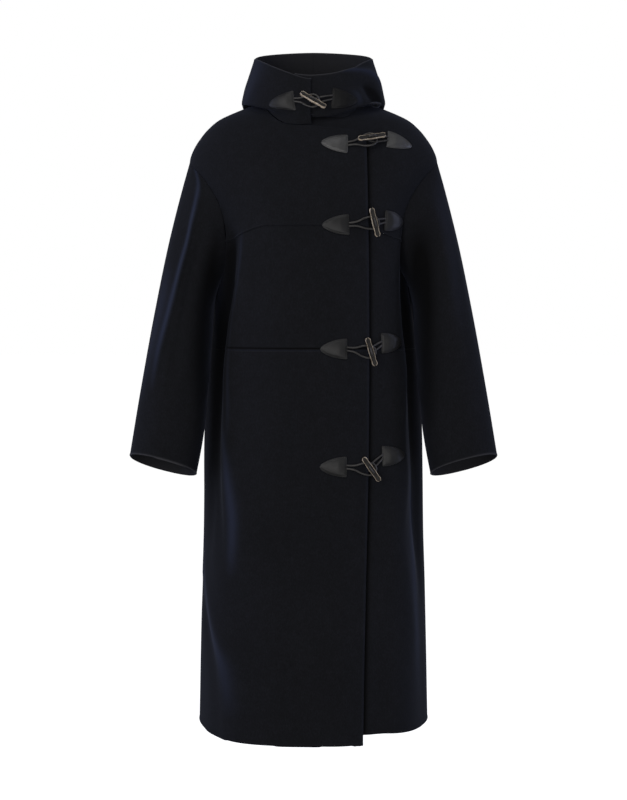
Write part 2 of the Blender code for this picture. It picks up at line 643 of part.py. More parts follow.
def build_sleeve(side, word):
    upper, lower, back = armhole_angles()
    angles = np.radians(np.concatenate([upper, lower[1:], back[1:-1]]))[None]
    along = np.array(SLEEVE_STATIONS)[:, None]
    lift = np.clip(1 - along / SLEEVE_STATIONS[2], 0, 1)[..., None] * np.array(ARMHOLE_OUT) * 2 * SEAM
    mirror = np.array((side, 1, 1))
    outer = (sleeve_point(along, angles) + lift) * mirror
    inward = facing(sleeve_point, along, angles)
    middle = sleeve_point(along, angles).mean(axis=1, keepdims=True)
    outwards = np.sum(inward * (sleeve_point(along, angles) - middle), axis=-1, keepdims=True)
    inward = -inward * np.sign(outwards.mean())
    inner = (sleeve_point(along, angles) + lift + inward * CLOTH) * mirror
    wall(f"sleeve_{word}", outer, inner, WOOL, tube=True)


def hood_turn_at_x(x):
    """The hood's turn at which its front wall has this x, halfway up."""
    half_width = smooth(HOOD_RINGS, np.array(HOOD_EDGE_AT))[0]
    share = abs(x) / half_width
    return math.copysign(math.atan2(share, (1 - share**HOOD_SQUARE) ** (1 / HOOD_SQUARE)), x)


def build_hood():
    along = np.array(HOOD_STATIONS)[:, None]
    gap = SEAM / 2 / HOOD_BACK_REACH
    right = np.linspace(hood_turn_at_x(HOOD_RIGHT_EDGE_X), gap - math.pi, HOOD_COLUMNS)[None]
    left = np.linspace(hood_turn_at_x(HOOD_LEFT_EDGE_X), math.pi - gap, HOOD_COLUMNS + 1)[None]
    for name, surface, sunk, turn in (
        ("hood_right", hood_point, none_sunk, right),
        ("hood_left", left_hood_point, hood_sunk, left),
    ):
        a, b = np.broadcast_arrays(turn, along)
        panel(name, surface, sunk, np.stack([a, b], -1))


def seat_on(surface, x, z, guess):
    """The surface place (a, b) whose point has this x and z, by Newton's steps from a guess."""
    place = np.array(guess, float)
    for _ in range(NEWTON_STEPS):
        here = surface(place[0], place[1])
        along_a = (surface(place[0] + TINY, place[1]) - here)[[0, 2]] / TINY
        along_b = (surface(place[0], place[1] + TINY) - here)[[0, 2]] / TINY
        error = np.array((x, z)) - here[[0, 2]]
        place += np.linalg.solve(np.stack([along_a, along_b], -1), error)
    return place


class Ground:
    """The cloth around one closure: places on it are given by x and z as seen from the front."""

    def __init__(self, surface, guess):
        self.surface, self.guess = surface, guess

    def place(self, x, z):
        return seat_on(self.surface, x, z, self.guess)

    def point(self, x, z, height):
        """The point at a height over the cloth that laps on top."""
        a, b = self.place(x, z)
        return self.surface(a, b) + facing(self.surface, a, b) * height

    def strip(self, x, z, heading, lengths, widths):
        """Rows of places that march from a start along a heading, each row spread to its half width."""
        a, b = self.place(x, z)
        way = np.array((math.cos(math.radians(heading)), 0.0, math.sin(math.radians(heading))))
        rows, last = [], 0.0
        for length, width in zip(lengths, widths):
            here = self.surface(a, b)
            along = np.stack([self.surface(a + TINY, b) - here, self.surface(a, b + TINY) - here], -1) / TINY
            normal = facing(self.surface, a, b)
            way = way - normal * (way @ normal)
            way /= np.linalg.norm(way)
            to_place = np.linalg.pinv(along)
            a, b = np.array((a, b)) + to_place @ way * (length - last)
            across = to_place @ np.cross(normal, way)
            spread = np.linspace(-1, 1, len(PATCH_ACROSS))[:, None] * width
            rows.append(np.array((a, b)) + spread * across)
            last = length
        return np.array(rows)


def build_patch(name, ground, x, z, heading, sunk):
    """A leather shield: straight base, sides that close to a tip like a pointed arch, crowned on top."""
    share, crown = np.array(PATCH_ROWS).T
    widths = PATCH_TIP + (PATCH_HALF_BASE - PATCH_TIP) * (1 - share**2) ** PATCH_ARCH
    grid = ground.strip(x, z, heading, share * PATCH_LENGTH, widths)
    a, b = grid[..., 0], grid[..., 1]
    points, normals = ground.surface(a, b), facing(ground.surface, a, b)
    floor = PATCH_SEAT - sunk(a, b)
    top = floor + PATCH_EDGE + PATCH_CROWN * np.array(PATCH_ACROSS) * crown[:, None]
    wall(name, points + normals * top[..., None], points + normals * floor[..., None], LEATHER)


def rounded(points, count):
    """A smooth curve through points, spaced evenly by their distances, read at count places."""
    points = np.array(points)
    run = np.concatenate([[0], np.cumsum(np.linalg.norm(np.diff(points, axis=0), axis=1) ** 0.5)])
    return smooth(np.column_stack([run, points]), np.linspace(0, run[-1], count))


def build_cord(name, points, count):
    """A cord: a curve with a round section and filled ends."""
    curve = bpy.data.curves.new(name, "CURVE")
    curve.dimensions = "3D"
    curve.bevel_depth = CORD_RADIUS
    curve.bevel_resolution = 1
    curve.use_fill_caps = True
    route = rounded(points, count)
    spline = curve.splines.new("POLY")
    spline.points.add(len(route) - 1)
    spline.points.foreach_set("co", np.column_stack([route, np.ones(len(route))]).ravel())
    item = bpy.data.objects.new(name, curve)
    bpy.context.collection.objects.link(item)
    paint(item, LEATHER)


def build_toggle(name, middle, axis, normal):
    """A horn peg, thickest at its middle, with a flat recess in front and two holes through it."""
    across = np.cross(normal, axis)
    half = TOGGLE_LENGTH / 2
    share = np.array(TOGGLE_STATIONS)
    angle = np.linspace(0, 2 * math.pi, TOGGLE_SIDES, endpoint=False)
    radius = smooth(TOGGLE_PROFILE, share)[:, :1]
    side = radius * np.sin(angle)
    high = radius * np.cos(angle)
    slope = (TOGGLE_RECESS_HALF, TOGGLE_RECESS_HALF + TOGGLE_RECESS_SLOPE)
    cut = 1 - rise(np.abs(share * half), slope)[:, None]
    high = np.where(high > TOGGLE_RECESS, high + (TOGGLE_RECESS - high) * cut, high)
    points = middle + (share * half)[:, None, None] * axis
    points = points + side[..., None] * across + high[..., None] * normal
    rings, sides = side.shape
    index = np.arange(rings * sides).reshape(rings, sides)
    nxt = np.roll(index, -1, axis=1)
    quads = np.stack([index[:-1], nxt[:-1], nxt[1:], index[1:]], -1).reshape(-1, 4)
    faces = [*quads.tolist(), index[0].tolist(), index[-1].tolist()]
    item = make(name, points.reshape(-1, 3), faces, HORN)
    ring = np.linspace(0, 2 * math.pi, DRILL_SIDES, endpoint=False) + DRILL_TURN
    for number, at in enumerate((-TOGGLE_HOLE_AT, TOGGLE_HOLE_AT)):
        circle = np.cos(ring)[:, None] * axis + np.sin(ring)[:, None] * across
        bore = middle + at * axis + circle * TOGGLE_HOLE
        ends = np.concatenate([bore - normal * DRILL_REACH, bore + normal * DRILL_REACH])
        low = np.arange(DRILL_SIDES)
        nxt = np.roll(low, -1)
        walls = np.stack([low, nxt, nxt + DRILL_SIDES, low + DRILL_SIDES], -1)
        cutter = make(f"{name}_drill_{number}", ends, [*walls, low, low + DRILL_SIDES], HORN)
        cutter.hide_render = True
        cutter.display_type = "WIRE"
        cut_hole = item.modifiers.new(f"hole_{number}", "BOOLEAN")
        cut_hole.object = cutter
        cut_hole.operation = "DIFFERENCE"
        cut_hole.solver = "EXACT"


def across_of(way):
    return np.array((-way[1], way[0]))


def heading_way(heading):
    return np.array((math.cos(math.radians(heading)), math.sin(math.radians(heading))))


def build_closure(row):
    name, loop_x, loop_z, loop_heading, toggle_x, toggle_z, lean, button_x, button_z, button_heading = row
    if name == "closure1":
        over = Ground(hood_point, (0.0, HOOD_EDGE_AT))
        under_sunk = hood_sunk
    else:
        over = Ground(body_point, (turn_at_x(toggle_x, toggle_z), toggle_z))
        under_sunk = front_sunk
    build_patch(f"{name}_loop_patch", over, loop_x, loop_z, loop_heading, none_sunk)
    build_patch(f"{name}_toggle_patch", over, button_x, button_z, button_heading, under_sunk)

    middle = np.array((toggle_x, toggle_z))
    a, b = over.place(*middle)
    normal = facing(over.surface, a, b)
    lay = np.array((math.cos(math.radians(lean)), 0.0, math.sin(math.radians(lean))))
    axis = lay - normal * (lay @ normal)
    axis /= np.linalg.norm(axis)
    seat = over.surface(a, b) + normal * TOGGLE_HEIGHT
    build_toggle(f"{name}_toggle", seat, axis, normal)

    # The loop: out of its shield, round an eye about the toggle's neck, and back.
    base = np.array((loop_x, loop_z))
    reach = np.linalg.norm(middle - base)
    way = (middle - base) / reach
    off = across_of(way)
    out = -heading_way(loop_heading)
    mouth = base + out * CORD_START
    ends = [over.point(*(mouth + across_of(out) * v), CORD_LOW) for v in (LOOP_SPREAD, -LOOP_SPREAD)]
    strand = [
        (
            reach * share + EYE_RADIUS * past,
            EYE_RADIUS * wide if wide else LOOP_SPREAD + LOOP_FLARE,
            CORD_LOW + (CORD_HIGH - CORD_LOW) * up,
        )
        for share, past, wide, up in LOOP_STRAND
    ]
    route = strand + [(reach + EYE_RADIUS, 0.0, CORD_HIGH)] + [(u, -v, h) for u, v, h in strand[::-1]]
    eye = [over.point(*(base + way * u + off * v), h) for u, v, h in route]
    build_cord(f"{name}_loop", [ends[0], *eye, ends[1]], LOOP_POINTS)

    # The toggle's cord: out of its shield, under the eye, up one hole, across the recess and back.
    base = np.array((button_x, button_z))
    way = (base - middle) / np.linalg.norm(base - middle)
    off = across_of(way)
    out = heading_way(button_heading)
    reach = np.linalg.norm(base - middle)
    a, b = over.place(*base)
    low = CORD_LOW - float(under_sunk(np.array(a), np.array(b)))
    hole = np.array((math.cos(math.radians(lean)), math.sin(math.radians(lean)))) * TOGGLE_HOLE_AT
    near = abs(hole @ way) + LOOP_FLARE
    side = 1.0 if hole @ off >= 0 else -1.0
    ends = []
    for sign in (side, -side):
        mouth = base - out * CORD_START + across_of(out) * sign * BUTTON_SPREAD
        flat = [
            ((reach + near) / 2, sign * NECK_SPREAD, (low + 2 * CORD_LOW) / 3),
            (near, sign * NECK_SPREAD, CORD_LOW),
        ]
        run = [over.point(*(middle + way * u + off * v), h) for u, v, h in flat]
        ends.append([over.point(*mouth, low), *run])
    up = [seat + axis * TOGGLE_HOLE_AT + normal * h for h in TOGGLE_CORD_RISES]
    down = [seat - axis * TOGGLE_HOLE_AT + normal * h for h in TOGGLE_CORD_RISES]
    across = [seat + normal * (TOGGLE_RECESS + CORD_RADIUS + TOGGLE_CORD_OVER)]
    route = ends[0] + up + across + down[::-1] + ends[1][::-1]
    build_cord(f"{name}_toggle_cord", route, TOGGLE_CORD_POINTS)


for old in list(bpy.data.objects):
    bpy.data.objects.remove(old)
build_front(-1, "right", none_sunk)
build_front(1, "left", front_sunk)
build_back()
build_sleeve(-1, "right")
build_sleeve(1, "left")
build_hood()
for closure in CLOSURES:
    build_closure(closure)
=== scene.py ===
"""A long duffle coat in near-black double-faced wool, with horn toggles on leather loops.

Metres, +Z up, the coat's front towards -Y. The file follows the coat as it is put together: fronts, back,
sleeves, hood, topstitching, then the five closures, and last the studio that it hangs in.
"""

import math

import bpy
import numpy as np
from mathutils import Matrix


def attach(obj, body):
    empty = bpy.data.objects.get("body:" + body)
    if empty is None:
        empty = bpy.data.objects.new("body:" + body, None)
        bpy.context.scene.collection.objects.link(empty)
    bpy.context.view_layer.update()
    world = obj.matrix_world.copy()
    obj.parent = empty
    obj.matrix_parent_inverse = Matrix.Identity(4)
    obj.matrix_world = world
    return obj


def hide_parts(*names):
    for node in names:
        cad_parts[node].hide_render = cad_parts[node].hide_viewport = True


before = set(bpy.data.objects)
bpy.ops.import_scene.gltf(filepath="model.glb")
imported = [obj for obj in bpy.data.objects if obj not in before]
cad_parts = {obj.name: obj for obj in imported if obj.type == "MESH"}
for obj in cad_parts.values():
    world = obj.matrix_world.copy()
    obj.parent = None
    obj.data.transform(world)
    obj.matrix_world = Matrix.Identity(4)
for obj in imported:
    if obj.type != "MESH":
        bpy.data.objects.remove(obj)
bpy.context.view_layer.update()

# ---------------------------------------------------------------------------------------------------------
# The fronts: three panels of double-faced wool a side, seamed level at the yoke and at the waist. The right
# front laps over the left, its raw edge folded and pressed. The wool is fulled and brushed, so it shows a
# short nap and no weave, and it falls in long soft folds from the chest and the hips.

CLOTH = 0.0025
SEAM = 0.0003
UNDER = 0.0040
LAP_GROOVE = 0.0035
LAP_GROOVE_HALF = 0.0075
LAP_GROOVE_END = (-0.085, -0.060)  # the heights between which the groove under the lap runs out
NECK_ALLOWANCE = 0.0090  # what the left yoke runs up behind the hood's seam
QUARTER = math.pi / 2
TINY = 1e-4
DENSE = 120
FINE = 600

# Level rings: z, half width, front, back, where along Y the ring is widest, squareness before and behind.
BODY_RINGS = (
    (-1.19, 0.2245, -0.19, 0.168, 0.03, 2.5, 2.3),
    (-1.07, 0.222, -0.184, 0.163, 0.03, 2.55, 2.3),
    (-0.95, 0.219, -0.178, 0.158, 0.03, 2.6, 2.35),
    (-0.836, 0.2163, -0.173, 0.153, 0.03, 2.6, 2.4),
    (-0.72, 0.215, -0.169, 0.148, 0.03, 2.6, 2.4),
    (-0.64, 0.2138, -0.166, 0.146, 0.045, 2.6, 2.4),
    (-0.5, 0.2085, -0.161, 0.144, 0.065, 2.6, 2.4),
    (-0.4, 0.1942, -0.158, 0.138, 0.05, 2.6, 2.4),
    (-0.335, 0.1815, -0.156, 0.131, 0.02, 2.6, 2.4),
    (-0.25, 0.1805, -0.151, 0.127, 0.012, 2.55, 2.4),
    (-0.19, 0.199, -0.145, 0.123, 0.007, 2.45, 2.35),
    (-0.147, 0.222, -0.137, 0.119, 0.003, 2.3, 2.25),
    (-0.108, 0.2366, -0.126, 0.113, 0, 2.2, 2.2),
    (-0.0834, 0.2288, -0.117, 0.108, 0, 2.15, 2.15),
    (-0.0644, 0.2172, -0.108, 0.104, 0.001, 2.1, 2.1),
    (-0.0454, 0.2018, -0.097, 0.098, 0.003, 2.1, 2.05),
    (-0.0265, 0.1788, -0.083, 0.09, 0.004, 2.05, 2),
    (-0.0113, 0.1462, -0.065, 0.078, 0.005, 2, 2),
    (0.006, 0.1, -0.04, 0.056, 0.005, 2, 2),
    (0.0135, 0.078, -0.02, 0.036, 0.005, 2, 2),
)
HEM = BODY_RINGS[0][0]
SHOULDER = -0.1080
TOP = BODY_RINGS[-1][0]

# Long folds that both sides share: turn and spread in degrees, z_top, z_bottom, height.
BODY_FOLDS = (
    (43, 9, -0.2, -1.3, 0.004),
    (65, 12, -0.3, -1.3, -0.006),
    (64, 16, -0.28, -0.92, -0.012),
    (122, 12, -0.5, -1.3, -0.005),
    (148, 14, -0.45, -1.3, 0.006),
)
FOLD_FADE = 0.18

# Single creases, no two alike. Each row down a crease: z, turn in degrees, spread towards the centre front
# and towards the centre back in degrees, height in millimetres (a hollow is negative).
BODY_CREASES = (
    # wearer's right: the pressed corner of the front, and the fold that it runs into on the skirt
    ((-0.225, -42, 9, 3, 0), (-0.262, -42.6, 9, 3, 3.4), (-0.353, -44.6, 9, 3.2, 4.6),
     (-0.453, -47, 9, 3.4, 4.4), (-0.585, -43.8, 9, 4, 4), (-0.66, -41, 9, 5, 2.6),
     (-0.72, -37, 9, 6, 4.2), (-0.78, -33.5, 9, 6.5, 5), (-0.86, -33.5, 9, 7, 3.2), (-0.94, -35, 9, 8, 0)),
    ((-0.225, -50, 4, 7, 0), (-0.27, -52, 5, 9, -7), (-0.37, -55.5, 6, 10, -13),
     (-0.455, -57.5, 6, 10, -14), (-0.56, -58, 6, 10, -12), (-0.63, -59, 6, 9, -8), (-0.7, -56, 6, 8, -6),
     (-0.79, -50, 5, 7, -4.5), (-0.9, -46, 6, 8, 0)),
    ((-0.85, -74, 9, 6, 0), (-0.92, -63, 9, 6, 4), (-0.98, -51, 9, 7, 5), (-1.035, -40, 9, 7, 5),
     (-1.095, -35.5, 9, 7, 4), (-1.19, -33, 10, 8, 3)),
    ((-0.9, -84, 6, 6, 0), (-0.96, -73, 6, 8, -4), (-1.03, -57, 6, 9, -5), (-1.1, -51, 6, 9, -4.5),
     (-1.19, -49, 6, 9, -4)),
    # wearer's left
    ((-0.215, 55, 10, 3.2, 0), (-0.245, 55.6, 10, 3.2, 3.4), (-0.34, 53, 10, 3.2, 4.4),
     (-0.437, 51, 10, 3.2, 4.6), (-0.465, 53, 10, 3.4, 4.2), (-0.555, 48.5, 9, 3.6, 4.2),
     (-0.64, 46.5, 9, 4.4, 4), (-0.69, 48.5, 9, 5, 4.2), (-0.82, 42, 9, 6, 4.6), (-0.9, 47, 9, 6, 3.4),
     (-0.98, 51, 9, 7, 2.6), (-1.06, 53, 9, 8, 0)),
    ((-0.215, 64, 4, 7, 0), (-0.26, 67, 6, 9, -7), (-0.37, 69, 8, 10, -12), (-0.47, 67, 8, 10, -12),
     (-0.6, 67, 7, 9, -8.5), (-0.69, 70, 6, 7, -7), (-0.8, 67, 6, 6, -6.5), (-0.87, 67, 6, 6, -5),
     (-0.96, 66, 6, 7, 0)),
    ((-0.95, 30, 8, 8, 0), (-1.06, 29, 9, 9, -2.6), (-1.19, 28, 10, 10, -3.2)),
    # the sides behind the sleeves
    ((-0.3, 103, 8, 14, 0), (-0.375, 102, 8, 14, 6.5), (-0.44, 101, 8, 14, 4), (-0.56, 102, 8, 14, 1.6),
     (-0.64, 103, 8, 14, 3), (-0.74, 104, 8, 14, 0)),
    ((-0.3, -103, 14, 8, 0), (-0.37, -102, 14, 8, 4.2), (-0.44, -101, 14, 8, 3.6),
     (-0.56, -102, 14, 8, 1.6), (-0.64, -103, 14, 8, 3), (-0.74, -104, 14, 8, 0)),
    # faint drag on the chest and across the skirt's front
    ((-0.5, -14, 7, 7, 0), (-0.7, -12, 9, 9, -1.2), (-0.95, -9, 10, 10, -1.6), (-1.19, -6, 10, 10, -2)),
    ((-0.62, 8, 8, 8, 0), (-0.85, 10, 8, 8, 1), (-1.19, 12, 9, 9, 1.8)),
    # back, from the shoulder blades and the seat down
    ((-0.28, 142, 7, 9, 0), (-0.42, 146, 8, 10, 3), (-0.56, 150, 8, 10, 3.4), (-0.7, 152, 9, 9, 0)),
    ((-0.33, -138, 9, 7, 0), (-0.48, -141, 9, 8, 3.2), (-0.64, -146, 9, 8, 3), (-0.76, -148, 9, 8, 0)),
    ((-0.56, 168, 7, 8, 0), (-0.76, 166, 8, 9, -3.4), (-0.98, 163, 8, 10, -4.6), (-1.19, 161, 9, 11, -5)),
    ((-0.62, -164, 8, 7, 0), (-0.82, -166, 9, 8, -3), (-1.19, -169, 11, 9, -4.6)),
    ((-0.7, 112, 7, 7, 0), (-0.88, 110, 8, 8, 3.6), (-1.19, 106, 9, 9, 5)),
    ((-0.66, -108, 7, 7, 0), (-0.84, -111, 8, 8, 3), (-1.19, -115, 9, 9, 4.4)),
    ((-0.24, 118, 6, 6, 0), (-0.33, 122, 6, 7, -4), (-0.46, 128, 7, 7, 0)),
    ((-0.24, -116, 6, 6, 0), (-0.35, -121, 7, 6, -4.4), (-0.48, -128, 7, 7, 0)),
)

# Painted light on the body: painted highlights on ridges, pressed edges and the skirt's sides (above 0), and
# painted shade in the hollows and under the arms (below 0): z, turn, spread before and after, strength.
BODY_PAINTED_LIGHT = (
    ((-0.235, -42, 1.2, 1, 0), (-0.265, -42.8, 1.2, 1, 0.4), (-0.353, -44.2, 1.2, 1, 0.55),
     (-0.453, -44.8, 1.2, 1, 0.5), (-0.585, -43, 1.6, 1.2, 0.4), (-0.64, -44, 2, 1.6, 0)),
    ((-0.235, -47, 3, 8, 0), (-0.265, -49, 3, 14, -0.8), (-0.3, -50, 4, 30, -1.7),
     (-0.37, -50, 4, 45, -2.2), (-0.455, -51, 4, 45, -2.4), (-0.54, -54, 6, 40, -2.2),
     (-0.605, -59, 8, 30, -1.8), (-0.7, -61, 8, 22, -1.3), (-0.79, -59, 8, 16, -1),
     (-0.87, -58, 8, 10, -0.4), (-0.93, -58, 8, 9, 0)),
    ((-0.57, -54, 3, 3, 0), (-0.612, -49.5, 3.2, 3, 0.6), (-0.702, -43.2, 3.4, 3.4, 1),
     (-0.771, -39.8, 3.4, 3.4, 1), (-0.844, -40, 3, 3, 0.6), (-0.885, -40.2, 3, 3, 0)),
    ((-0.8, -86, 8, 8, 0), (-0.875, -80, 8, 8, 0.5), (-0.943, -65.8, 6, 7, 0.9), (-1.01, -53.5, 6, 7, 1),
     (-1.041, -46.8, 6, 6, 0.9), (-1.095, -42, 5, 5, 0.5), (-1.15, -40, 5, 5, 0)),
    ((-0.228, 58.8, 1, 1.2, 0), (-0.26, 58, 1, 1.2, 0.35), (-0.437, 52.8, 1, 1.2, 0.5),
     (-0.462, 55.4, 1, 1.2, 0.4), (-0.555, 50.5, 1.4, 1.4, 0.4), (-0.605, 52.8, 1.6, 1.6, 0)),
    ((-0.225, 66, 5, 8, 0), (-0.255, 68, 6, 20, -0.9), (-0.3, 62, 6, 40, -1.7),
     (-0.37, 57, 4.5, 45, -2.2), (-0.466, 57, 4.5, 45, -2.4), (-0.563, 60, 6, 40, -1.8),
     (-0.641, 72, 9, 14, -1.1), (-0.697, 76, 6, 6, -0.6), (-0.792, 73, 4, 5, -0.5),
     (-0.869, 71, 4, 5, -0.4), (-0.94, 70, 4, 5, 0)),
    ((-0.59, 56, 4, 4, 0), (-0.625, 59, 5, 5, 0.5), (-0.694, 62, 6, 6, 1), (-0.79, 62, 7, 6, 1.2),
     (-0.897, 56, 5, 5, 0.8), (-0.975, 57, 4, 5, 0.7), (-1.053, 59.2, 5, 5, 0.4), (-1.13, 60, 5, 5, 0)),
    ((-0.64, -100, 14, 14, 0), (-0.76, -98, 12, 12, 0.5), (-1.19, -98, 12, 12, 0.5)),
    ((-0.64, 100, 14, 14, 0), (-0.76, 98, 12, 12, 0.5), (-1.19, 98, 12, 12, 0.5)),
)

# Painted light along lines: a painted highlight on the lap just inside its edge and a painted shadow beside
# it, and a painted shadow over the waist seam with a painted highlight under it.
EDGE_PAINTED_HIGHLIGHT, EDGE_HIGHLIGHT_AT, EDGE_HIGHLIGHT_HALF = 0.20, 0.0028, 0.0022
EDGE_PAINTED_SHADOW, EDGE_SHADOW_HALF = 1.2, 0.0062
SEAM_PAINTED_HIGHLIGHT, SEAM_HIGHLIGHT_AT, SEAM_PAINTED_SHADOW, SEAM_SHADOW_AT, SEAM_LINE_HALF = 0.25, 0.0034, 1.2, 0.0005, 0.0016

ARMHOLE_MID_Z = -0.2215
ARMHOLE_HALF_Z = 0.1135
ARMHOLE_FRONT = 0.090
ARMHOLE_BACK = 0.086
ARMHOLE_EASE = 0.0001
UNDERARM = ARMHOLE_MID_Z - ARMHOLE_HALF_Z - ARMHOLE_EASE

# Where the left front comes up from under the lap: x, and turn in degrees. FRONT_EDGE: z and x of the lap.
FRONT_RISE_X = (0.108, 0.158)
FRONT_RISE_TURN = (50.0, 85.0)
FRONT_EDGE = ((-1.19, 0.0928), (-0.92, 0.0964), (-0.66, 0.1017), (-0.259, 0.1013), (-0.057, 0.0974))
HIDDEN_EDGE_X = -0.085
LAP_CORNER = (0.0974, -0.057)
LAP_START = (-0.005, -0.0465)
UNDER_LAP_TOP_Z = -0.0430
NECK_START_RIGHT = 6.0
NECK_START_LEFT = 2.0
LEFT_HEM_RISE = 0.0165
LEFT_HEM_RUN = ((34, 1), (62, 0.36))  # turn in degrees, share of the rise that is left there
WAIST_SEAM_Z = -0.4590
YOKE_SEAM_Z = -0.2345
YOKE_DROP = 0.0280
YOKE_DROP_FROM_X = 0.085
YOKE_DROP_OVER_X = 0.090
NECK_HALF_WIDTH = 0.0900
NECK_SQUARE = 3.5
NECK_MID_Y = 0.005
NECK_FRONT_RIGHT = -0.0970
NECK_FRONT_LEFT = -0.0900
NECK_BACK = 0.0560
NECK_LOWEST_Z = -0.0834

# Distances from a panel's edge at which it has points: close together where the edge is rounded off and
# where the row of topstitching presses a channel into the cloth.
RIM_STEPS = (0.0, 0.00015, 0.0005, 0.0011, 0.0022, 0.0036, 0.0048, 0.0056, 0.0064, 0.0078, 0.0100)
STITCH_ROW = RIM_STEPS.index(0.0056)
RIM_ROUND = 0.00115
SEAM_ROUND = 0.00045  # the turned edge of a panel where it is sewn to the next
SEAM_OVERLAP = 0.00010
CHANNEL_DEPTH = 0.0005
CHANNEL_HALF = 0.0011
BEAD_HEIGHT = 0.0007  # a felled edge is a little thicker than the cloth
BEAD_AT = 0.0024
BEAD_HALF = 0.0016
MESH_STEP = 0.0037
EVENING = 60
YOKE_LIP = 0.0013  # how far the yoke's folded lower edge stands proud of the panel under it
LIP_FADE = 0.0100


def linear(hex_colour):
    """An sRGB hex colour as linear RGBA: the sRGB curve undone channel by channel."""
    value = np.array([int(hex_colour[at : at + 2], 16) for at in (1, 3, 5)]) / 255
    value = np.where(value <= 0.04045, value / 12.92, ((value + 0.055) / 1.055) ** 2.4)
    return (*value.tolist(), 1.0)


def add(tree, kind, inputs=None, **settings):
    """Adds a node, sets its settings, and gives each named input a value or a link."""
    node = tree.nodes.new(kind)
    for name, value in settings.items():
        setattr(node, name, value)
    for name, value in (inputs or {}).items():
        socket = node.inputs[name]
        if isinstance(value, bpy.types.NodeSocket):
            tree.links.new(value, socket)
        else:
            socket.default_value = value
    return node


def times(tree, value, factor, plus=0.0, **settings):
    """A value multiplied, with another added."""
    inputs = {0: value, 1: factor, 2: plus}
    return add(tree, "ShaderNodeMath", inputs, operation="MULTIPLY_ADD", **settings).outputs[0]


def noise(tree, where, scale, detail, roughness=0.5):
    inputs = {"Vector": where, "Scale": scale, "Detail": detail, "Roughness": roughness}
    return add(tree, "ShaderNodeTexNoise", inputs).outputs["Fac"]


def mix(tree, factor, first, second):
    """Two colours mixed: a link, and a link or an sRGB hex colour."""
    node = add(tree, "ShaderNodeMix", {"Factor": factor}, data_type="RGBA")
    tree.links.new(first, node.inputs[6])
    if isinstance(second, str):
        node.inputs[7].default_value = linear(second)
    else:
        tree.links.new(second, node.inputs[7])
    return node.outputs[2]


def relief(tree, shader, *layers):
    """Bumps laid over each other. Each layer is a height, its strength, its depth and whether it goes in."""
    below = {}
    for height, strength, depth, inwards in layers:
        inputs = {"Height": height, "Strength": strength, "Distance": depth, **below}
        below = {"Normal": add(tree, "ShaderNodeBump", inputs, invert=inwards).outputs["Normal"]}
    tree.links.new(below["Normal"], shader.inputs["Normal"])


def ramp(tree, factor, stops):
    """A colour ramp: each stop is a position and an sRGB hex colour."""
    node = add(tree, "ShaderNodeValToRGB", {"Fac": factor})
    elements = node.color_ramp.elements
    while len(elements) < len(stops):
        elements.new(0.5)
    for element, (position, colour) in zip(elements, stops):
        element.position = position
        element.color = linear(colour)
    return node.outputs["Color"]


def start(name):
    """A new material with its tree, its shader and nothing else in it."""
    material = bpy.data.materials.new(name)
    material.use_nodes = True
    tree = material.node_tree
    return material, tree, tree.nodes["Principled BSDF"]


def brushed_melton_wool():
    """Wool coating, fulled and brushed, near black with a faint blue cast. Its pile, 2.2 mm across, scatters
    light at the edges of the form. Painted shade darkens it in the hollows, painted highlights make it bluer
    and lighter along ridges and pressed edges, and painted light makes it grey along the rims and inside."""
    material, tree, shader = start("brushed_melton_wool")
    where = add(tree, "ShaderNodeTexCoord").outputs["Object"]
    combed = add(tree, "ShaderNodeMapping", {"Vector": where, "Scale": (1.0, 1.0, 0.55)}).outputs["Vector"]
    nap_and_painted_light = noise(tree, combed, 460.0, 3.0, 0.6)
    felt = noise(tree, where, 75.0, 3.0, 0.55)
    mixed = times(tree, felt, 0.30, times(tree, nap_and_painted_light, 0.58))
    mixed = times(tree, noise(tree, where, 9.0, 2.0), 0.12, mixed)
    colour = ramp(tree, mixed, ((0.30, "#0c0d10"), (0.50, "#121317"), (0.70, "#191a1f")))
    # Painted light: the nap attribute darkens the colour to near black as painted shade where it is below 0
    # and lightens it towards blue as a painted highlight where it is above 0; the pale attribute lightens it
    # to grey as painted light on the rims and inside.
    painted_shine_and_shade = add(tree, "ShaderNodeAttribute", attribute_name="nap_and_painted_light").outputs["Fac"]
    pale = add(tree, "ShaderNodeAttribute", attribute_name="pale").outputs["Fac"]
    colour = mix(tree, times(tree, painted_shine_and_shade, -1.0, use_clamp=True), colour, "#020203")
    colour = mix(tree, times(tree, painted_shine_and_shade, 0.65, use_clamp=True), colour, "#262b3c")
    colour = mix(tree, pale, colour, "#3a3a3e")
    tree.links.new(colour, shader.inputs["Base Color"])
    rough = add(tree, "ShaderNodeMapRange", {"Value": felt, "To Min": 0.86, "To Max": 0.98})
    tree.links.new(rough.outputs["Result"], shader.inputs["Roughness"])
    relief(tree, shader, (felt, 0.16, 0.0012, False), (nap_and_painted_light, 0.30, 0.0006, False))
    shader.inputs["Specular IOR Level"].default_value = 0.12
    shader.inputs["Sheen Weight"].default_value = 0.10
    shader.inputs["Sheen Roughness"].default_value = 0.42
    shader.inputs["Sheen Tint"].default_value = linear("#8d97b8")
    return material


WOOL = brushed_melton_wool()


